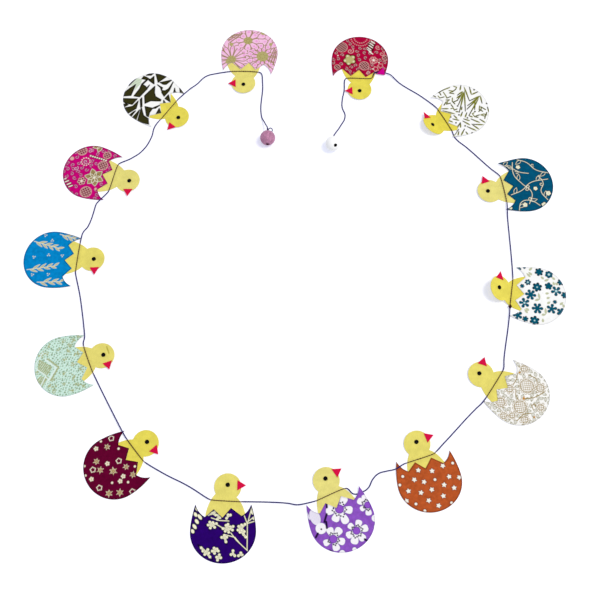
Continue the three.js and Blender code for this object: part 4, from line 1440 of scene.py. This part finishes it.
gold = [line(stem, width=0.6) for stem in GOLD_STEMS]
for x, y, size in ROUNDS:
    gold += [net(x, y, size, mesh=2.1, width=0.32), outlined(dot(x, y, size), width=0.4)]
    rim = ring(x, y, radius=size + 0.8, count=int(3 * size), size=0.8)
    gold += [outlined(bead, width=0.34) for bead in rim]
greyer = []
for x, y, angle in strewn(seed=11, room=2.9, taken=[(x, y, size + 0.9) for x, y, size in ROUNDS]):
    foot, tip = ahead(x, y, angle, -LEAF_HALF), ahead(x, y, angle, LEAF_HALF)
    greyer += [outlined(leaf(foot, tip, width=2), width=0.4), line([foot, tip], width=0.3)]
PRINTS["gold"] = dye(254, 252, 248), [
    (dye(128, 122, 62), drawing(*greyer)),
    (dye(150, 122, 36), drawing(*gold)),
    (dye(200, 136, 30), drawing(*[dot(*item) for item in ORANGE_BERRIES])),
]
print("gold:", len(ROUNDS), "hatched flowers")

# %% Olive print, blades
BLADES = [  # foot and tip of each
    ((18.5, -27.8), (4.3, -25.8)), ((15, -26.5), (-3, -18.3)), ((14, -26), (-2, -13.3)),
    ((14, -26), (4.5, -15.8)), ((14, -25), (8.5, -16.8)), ((14.5, -25), (13, -19.2)),
    ((5, -36.6), (4.3, -25.8)), ((4.8, -36), (0.8, -22.3)), ((4.5, -35), (-2, -20.3)),
    ((3.5, -34), (-7.7, -19.2)), ((2.5, -30), (-4.7, -26)), ((5, -36), (-1.8, -34.2)),
    ((8.4, -29.8), (15.6, -31.6)), ((8.8, -29.8), (9.1, -35.8)), ((16, -23), (20, -26)),
    ((-22.6, -18.7), (-16.3, -13.3)), ((-22.6, -21.2), (-15.8, -17.8)), ((-20.2, -26.7), (-16.3, -19)),
    ((-17.2, -24.7), (-11.3, -19.2)), ((-19, -28.5), (-14.3, -25.8)), ((-20.6, 2.4), (-15.8, -5.7)),
    ((-21.6, -4.8), (-17.3, -10.2)), ((-14.6, -4.2), (-10.8, -9.8)), ((-15.2, -7.8), (-10.8, -9.8)),
    ((-16.2, -16.2), (-10.3, -12.3)), ((-12.6, -17.7), (-8.8, -13.8)), ((-8.2, -4.7), (-4.3, -1.3)),
    ((-8.8, -10.2), (-5.3, -5.8)), ((-6.7, -9.2), (-2.8, -8)), ((-2.2, -9.8), (4.7, -1.8)),
    ((4.4, -7.2), (6.7, -1.8)), ((-6.2, -12.3), (-2.8, -15.7)), ((-8.2, -15.3), (-4.8, -18.7)),
    ((-12, -35.5), (-6.8, -36.5)), ((-20.8, -2.4), (-17.6, -5)), ((-22.8, -10.6), (-20, -10.2)),
    ((0, -10.8), (-1.4, -13)), ((12, -4.4), (16.4, 0)), ((10.5, -17), (12, -21)),
    ((-1, -15.5), (1.5, -17.5)), ((-10.5, -21.5), (-8, -19)),
]

olive = [leaf(foot, tip, width=1.3) for foot, tip in BLADES]
dark = [line([np.add(tip, 0.3 * np.subtract(foot, tip)), tip], width=0.8) for foot, tip in BLADES]
print("olive:", len(BLADES), "blades")

# %% Olive print, hooks and inks
CROOKED = [
    [(1.5, -13), (1.5, -10.5), (3.5, -10.7), (3.8, -8.6)], [(4.5, -10.8), (7, -10.4)],
    [(8.5, -10.6), (9, -7.2), (11.6, -10.2)], [(9, -5), (11, -8)],
    [(6.4, -13.5), (9.5, -12.7), (12.2, -14.2)], [(8.4, -13), (8.6, -17.2)],
    [(14, -13.6), (14, -10), (16.5, -10.4), (20.2, -10)], [(16, -8.6), (16.4, -5), (18.6, -4.4)],
    [(18.6, -7), (21.4, -7)], [(21.5, -6.2), (22.1, -11), (22, -16.6)],
    [(15.4, -17.2), (17.5, -14.3), (18, -17.6), (19.6, -15)],
    [(17.5, -17), (18.5, -20.5), (20, -22), (21.6, -20.3)], [(18.6, -2.2), (20.6, -0.8)],
    [(-12, -25.2), (-10.5, -22.9), (-7.5, -22.4), (-7.2, -24)], [(-10.5, -27.2), (-10.3, -24.3)],
    [(-15.2, -29.8), (-13.5, -31), (-11, -28.3), (-11.2, -31), (-13, -32.7)],
    [(-8.6, -31.2), (-6, -29.4), (-3.3, -31.2)], [(-7.5, -28.3), (-6.5, -31), (-4.8, -31.7)],
    [(-8.2, -34), (-4.4, -31.8)], [(-11, -33.7), (-13.6, -31)], [(11.5, -11.2), (12.6, -8.6)],
]
SEEDS_ON_OLIVE = [
    (-3.5, -37.5), (-4, -12), (-15, -12), (-9.2, -17), (-6.4, -25.3), (3.8, -14.7), (-9.5, -6.5), (-3, -5),
    (-22.8, -14.4), (12, -34),
]

dark += [dot(*seed, radius=0.75) for seed in SEEDS_ON_OLIVE]
for hook in CROOKED:
    olive.append(line(hook, width=0.95))
    dark.append(line(hook[:2], width=0.6))
PRINTS["olive"] = white_paper, [
    (dye(122, 124, 34), drawing(*olive)),
    (dye(66, 66, 30), drawing(*dark)),
]
print("olive:", len(CROOKED), "hooks")

# %% [markdown]
# ## Sprigs on blue, vines on teal
# The last two papers get plain leafy patterns: separate sprigs of long paired leaves in beige on blue, and
# running vines with leaves and curls in cream on teal. Each leaf could have its place, but a rule is
# shorter here: a sprig has a pair of leaves at every step of its stem, and a vine has a shoot now on one
# side and now on the other.

# %% Blue print
SPRIGS = [  # foot, tip, pairs of leaves
    ((-13, -34), (-9.5, -13), 4), ((11, -34), (5, -13), 4), ((20, -24), (17, -6), 3),
    ((-21.5, -15), (-18.5, 0), 3),
]
LOWEST_LEAF, SHORTER_BY = 6.4, 0.6  # length of the lowest leaves, and how much each pair above loses
BLUE_SEEDS = [(-4, -9.5), (-3, -20), (12.5, -17), (-15.5, -20), (0, -31), (-19, -26), (14.5, -29)]

beige, cream = [], []
for k, (foot, tip, pairs) in enumerate(SPRIGS):
    cream.append(line([foot, tip], width=0.55))
    heading = math.atan2(tip[1] - foot[1], tip[0] - foot[0])
    for j in range(pairs):
        for side in (-1, 1):
            x, y = np.add(foot, np.subtract(tip, foot) * (j + 0.6 + 0.22 * side) / pairs)
            spread = 0.42 + 0.05 * ((j + k) % 3)  # radians, not the same for every pair
            end = ahead(x, y, heading + side * spread, LOWEST_LEAF - SHORTER_BY * j)
            beige.append(leaf((x, y), end, width=1.15))
            cream.append(outlined(leaf((x, y), end, width=1.45), width=0.34))
for x, y in BLUE_SEEDS:
    cream += ring(x, y, radius=0.85, count=3, size=0.45, turn=x)
PRINTS["blue"] = dye(0, 142, 213), [
    (dye(198, 190, 142), drawing(*beige)),
    (dye(240, 232, 196), drawing(*cream)),
]
print("blue:", len(SPRIGS), "sprigs")

# %% Teal print
VINES = [
    [(-22, -8), (-15, -11), (-14.5, -19), (-20, -26)], [(-8, -4), (-5, -13), (1, -21), (3, -36)],
    [(-17, -17), (-8, -20.5), (1, -14), (9, -9), (22, -10)], [(8, -37), (12, -27), (19, -21), (22.6, -13)],
    [(-15, -32), (-7, -28), (0, -31), (8, -27)], [(18.5, 1), (16.5, -6), (11, -14), (9, -22)],
]
FILLED = [  # middle and size of the filled flowers
    (-17.5, -13.5, 1.7), (-19, -28.5, 2), (15.6, -13.5, 1.6), (-4.4, -24, 1.5), (-9.4, -33.4, 1.8),
    (-19.2, -1.6, 1.2),
]
FIRST_SHOOT, SHOOT_GAP = 3, 11  # along a vine
SHOOT_LEAN = 0.9  # between a shoot and its vine, in radians

cream, fine = [], []
for k, knots in enumerate(VINES):
    vine = soft_curve([(x, y, 0) for x, y in knots], step=1)[:, :2]
    fine.append(line(vine[::2], width=0.5))
    for j, i in enumerate(range(FIRST_SHOOT, len(vine) - 2, SHOOT_GAP)):
        x, y = vine[i]
        heading = math.atan2(*(vine[i + 1] - vine[i])[::-1])
        heading += SHOOT_LEAN if (j + k) % 2 else -SHOOT_LEAN
        if j % 3 == 1:
            curl = spiral(*ahead(x, y, heading, 2), radius=1.7, turns=1.1, start=heading + math.pi)
            fine.append(line(curl, width=0.42))
        else:
            fine.append(outlined(leaf((x, y), ahead(x, y, heading, 5.4), width=2.4), width=0.4))
for x, y, size in FILLED:
    cream += ring(x, y, radius=0.62 * size, count=5, size=0.5 * size, turn=x)
PRINTS["teal"] = dye(0, 88, 124), [
    (dye(0, 40, 58), drawing(*grown(fine + cream, rim=0.55))),
    (dye(252, 246, 220), drawing(*fine)),
    (dye(246, 242, 212), drawing(*cream)),
]
print("teal:", len(VINES), "vines")

# %% [markdown]
# ## Printed paper
# The finish of a shell starts with its paper, a little cloudy like the card, and the deep papers are
# mottled as papers made by hand are. Each ink is laid over it where its drawing says so, a little patchy
# as ink on soft paper is. At the cut edge the colour is deeper, a painted shade that is strongest on the
# dark papers. The back of the sheet is plain, so it is a card. All of it is worked out from the points and
# from noise, and no picture is needed.

# %% Printed paper
# the cut edge of a printed sheet is painted deeper, as painted shade along the edge
EDGE_SHADE_REACH = 1.1  # how far the deeper edge reaches in
EDGE_SHADE_STRENGTH = 1.5  # above 1, so that the colour is even on the edge itself
EDGE_SHADE_SHARE, PALE_EDGE_SHADE_SHARE = 0.75, 0.25
PALE_PAPERS = ("leaf", "gold", "flower", "olive", "pink", "mint", "lavender")
MOTTLE, PALE_MOTTLE = 0.26, 0.02  # how much deeper the spots of a paper are
MOTTLE_SIZE = 2.4
MOTTLED_PAPERS = ("magenta", "blue", "maroon", "purple", "lavender", "orange", "teal", "red")
INK_PATCH = 0.7  # size of the patches in the ink


def printed(name, colour, inks):
    """Paper of a colour with its inks, each on the points that hold its mark."""
    material, tree, shader = finish(f"print_{name}", roughness=0.86, specular=0.04)
    clouds = grain(tree, size=4)
    fibres = grain(tree, size=0.4, stretch=(1, 0.35, 1), detail=4)
    depth = MOTTLE if name in MOTTLED_PAPERS else PALE_MOTTLE
    mottle = blend(tree, grain(tree, MOTTLE_SIZE, detail=4), shade(WHITE, 1 - depth), WHITE)
    body = blend(tree, clouds, shade(colour, 0.95), shade(colour, 1.03))
    body = tinted(tree, body, mottle)
    for k, ink in enumerate(inks):
        patchy = blend(tree, grain(tree, INK_PATCH), shade(ink, 0.9), ink)
        body = blend(tree, mark(tree, f"ink_{k}"), body, patchy)
    # painted shade along the cut edge
    body = blend(tree, mark(tree, "edge"), body, shade(colour, 0.3))
    speck = blend(tree, fibres, shade(WHITE, 0.96), WHITE)
    feed(tree, shader.inputs["Base Color"], tinted(tree, body, speck))
    roughen(tree, shader, fibres, depth=0.05, strength=0.3)
    return material


PLAIN_WHITE = dye(240, 238, 230)
plain_reverse = card("plain_reverse", PLAIN_WHITE, PLAIN_WHITE)
magenta_reverse = card("magenta_reverse", RED_REVERSE, RED_REVERSE)
border = shell_outline()
off_edge = line(np.vstack([border, border[:1]]), width=0)
# how much painted shade lies on each point near the cut edge
edge = np.clip(EDGE_SHADE_STRENGTH - EDGE_SHADE_STRENGTH * off_edge / EDGE_SHADE_REACH, 0, 1)
print("the deeper edge reaches in by", EDGE_SHADE_REACH, "mm")

# %% [markdown]
# ## How the shells lie
# A shell is pasted on its chick and lies on top of it. Beyond the chick's body the paper sags a little
# towards the table. Three shells have a tip that stands up, and the left tip of the red one is folded
# right over the thread, so its back shows. A simulation could bend the sheets, but the bends are known, so
# each point is moved by a formula.

# %% Tips and sag
SHELL_SHIFT = {
    "pink": (-2, -2), "leaf": (0.5, -1.5), "magenta": (1.5, -3.5), "blue": (4.5, -3.5), "mint": (0.5, -1.5),
    "maroon": (3, -1), "purple": (-1, -4.5), "lavender": (1, -3.5), "orange": (1.5, -1.5),
    "gold": (4, -4.5), "flower": (1.5, -3), "teal": (2.5, -2), "olive": (3.5, -1), "red": (2.5, -1.5),
}
SHELL_TURN = {  # degrees
    "pink": -6, "leaf": -3, "magenta": -6, "blue": -3, "mint": -7, "maroon": -9, "purple": 3,
    "lavender": -2, "orange": -7, "gold": -5, "flower": -3, "teal": -5, "olive": -6, "red": -9,
}
RAISED_TIP = {"lavender": 1, "teal": 1, "olive": -1}  # right or left
RAISED_FOLD, RAISED_ANGLE, RAISED_RADIUS = -5, 13, 8  # fold line, degrees, radius of the bend
FOLDED_TIP, FOLD_LINE, FOLD_RADIUS = "red", -5, 0.55
SAG = 0.42
SAG_REACH, SAG_BELOW = 0.35, 6  # over which it grows: a share of the body, and a way down the chick


def sagging(points, place):
    """Lowers what reaches past the chick's body."""
    on_chick = np.array([place @ Vector(point) for point in points])
    across = (on_chick[:, 0] - BODY_MIDDLE) / BODY_HALF
    upright = (on_chick[:, 1] + SHOULDER_DROP) / (BODY_DEPTH - SHOULDER_DROP)
    past = np.clip((np.hypot(across, upright) - 1) / SAG_REACH, 0, 1)
    below = np.clip((-SHOULDER_DROP / 2 - on_chick[:, 1]) / SAG_BELOW, 0, 1)
    sunk = past * below
    return points - np.outer(SAG * sunk * sunk * (3 - 2 * sunk), (0, 0, 1))


def lying(name, place):
    """The points of a shell with its tips bent and its end sagging."""
    points = np.column_stack([spots, np.zeros(len(spots))])
    if name in RAISED_TIP:
        side = spots[:, 0] * RAISED_TIP[name] > RIGHT_VALLEY[0]
        points = bent_up(points, RAISED_FOLD, RAISED_ANGLE, RAISED_RADIUS, bends=side)
    if name == FOLDED_TIP:
        left = spots[:, 0] < LEFT_VALLEY[0]
        points = bent_up(points, FOLD_LINE, degrees=180, radius=FOLD_RADIUS, bends=left)
    return sagging(points, place) + (0, 0, FACE_HEIGHT)


print("tips raised on", ", ".join(RAISED_TIP), "and folded on", FOLDED_TIP)

# %% Shells
for name in CHICKS:
    colour, inks = PRINTS[name]
    place = laid(SHELL_SHIFT[name], SHELL_TURN[name])
    front = printed(name, colour, [ink for ink, _ in inks])
    reverse = magenta_reverse if name == FOLDED_TIP else plain_reverse
    marks = {f"ink_{k}": cover for k, (_, cover) in enumerate(inks)}
    # painted shade along the cut edge, weaker on the pale papers
    marks["edge"] = edge * (PALE_EDGE_SHADE_SHARE if name in PALE_PAPERS else EDGE_SHADE_SHARE)
    points, matrix = lying(name, place), chick_frame(name) @ place
    shell = cut_piece(f"eggshell_{name}", shell_blank, points, matrix, [front, reverse], marks)
    belongs(shell, f"shell_{name}")
bpy.data.objects.remove(shell_blank)
print("shells cut:", len(CHICKS))

# %% [markdown]
# ## Table and light
# The garland lies on a white table. A wide soft lamp stands high on the right, so the shadows fall short
# and soft to the left, and the rest of the room is a little bluer than the lamp, which tints the shadows.
# A stronger lamp would whiten the table and wash out the shadows. So the table shines a little of its own,
# and the wall behind it is white, but only for the camera, in reflections and through glass. That makes
# them white in the picture, and the shadows stay.

# %% Table
TABLE_SIZE = 8  # metres
TABLE_DROP = 0.00005  # metres below the paper, so that no two faces lie in one plane
TABLE_GLOW = 0.44
GLOW_COLOUR = (0.77, 0.79, 1, 1)


def seen_directly(tree):
    """1 for what the camera sees, itself, mirrored in a gloss or through glass."""
    rays = tree.nodes.new("ShaderNodeLightPath")
    seen = rays.outputs["Is Camera Ray"]
    for kind in ("Is Glossy Ray", "Is Transmission Ray"):
        larger = tree.nodes.new("ShaderNodeMath")
        larger.operation = "MAXIMUM"
        tree.links.new(seen, larger.inputs[0])
        tree.links.new(rays.outputs[kind], larger.inputs[1])
        seen = larger.outputs["Value"]
    return seen


def table_finish():
    material, tree, shader = finish("white_table", roughness=0.9, specular=0.1)
    clouds = grain(tree, size=40)
    feed(tree, shader.inputs["Base Color"], blend(tree, clouds, shade(WHITE, 0.79), shade(WHITE, 0.81)))
    glow = tree.nodes.new("ShaderNodeMath")
    glow.operation = "MULTIPLY"
    glow.inputs[1].default_value = TABLE_GLOW
    tree.links.new(seen_directly(tree), glow.inputs[0])
    shader.inputs["Emission Color"].default_value = GLOW_COLOUR
    tree.links.new(glow.outputs["Value"], shader.inputs["Emission Strength"])
    return material


bpy.ops.object.select_all(action="DESELECT")
bpy.ops.mesh.primitive_plane_add(size=TABLE_SIZE, location=(0, 0, -TABLE_DROP))
table = bpy.context.object
table.name = "table"
bpy.ops.object.transform_apply(location=True, rotation=True, scale=True)
table.data.materials.append(table_finish())
print("table glows by", TABLE_GLOW)

# %% Light
SKY = 0.6
SKY_COLOUR = (0.92, 0.96, 1.08, 1)
LAMP_POWER = 237  # watts
LAMP_COLOUR = (1.05, 1, 0.87)
LAMP_AT = Vector((3.05, 0.2, 6.2))  # metres, as its size
LAMP_SIZE = 2.3

world = bpy.data.worlds.new("room")
world.use_nodes = True
room = world.node_tree
sky = room.nodes["Background"]
sky.inputs["Color"].default_value = SKY_COLOUR
sky.inputs["Strength"].default_value = SKY
white_wall = room.nodes.new("ShaderNodeBackground")
white_wall.inputs["Color"].default_value = WHITE
either = room.nodes.new("ShaderNodeMixShader")
room.links.new(seen_directly(room), either.inputs[0])
room.links.new(sky.outputs["Background"], either.inputs[1])
room.links.new(white_wall.outputs["Background"], either.inputs[2])
room.links.new(either.outputs["Shader"], room.nodes["World Output"].inputs["Surface"])
bpy.context.scene.world = world
aimed = LAMP_AT.to_track_quat("Z", "Y").to_euler()
bpy.ops.object.light_add(type="AREA", location=LAMP_AT, rotation=aimed)
lamp = bpy.context.object
lamp.data.size = LAMP_SIZE
lamp.data.energy = LAMP_POWER
lamp.data.color = LAMP_COLOUR
bpy.context.scene.view_settings.view_transform = "Standard"
print("lamp:", LAMP_POWER, "W")
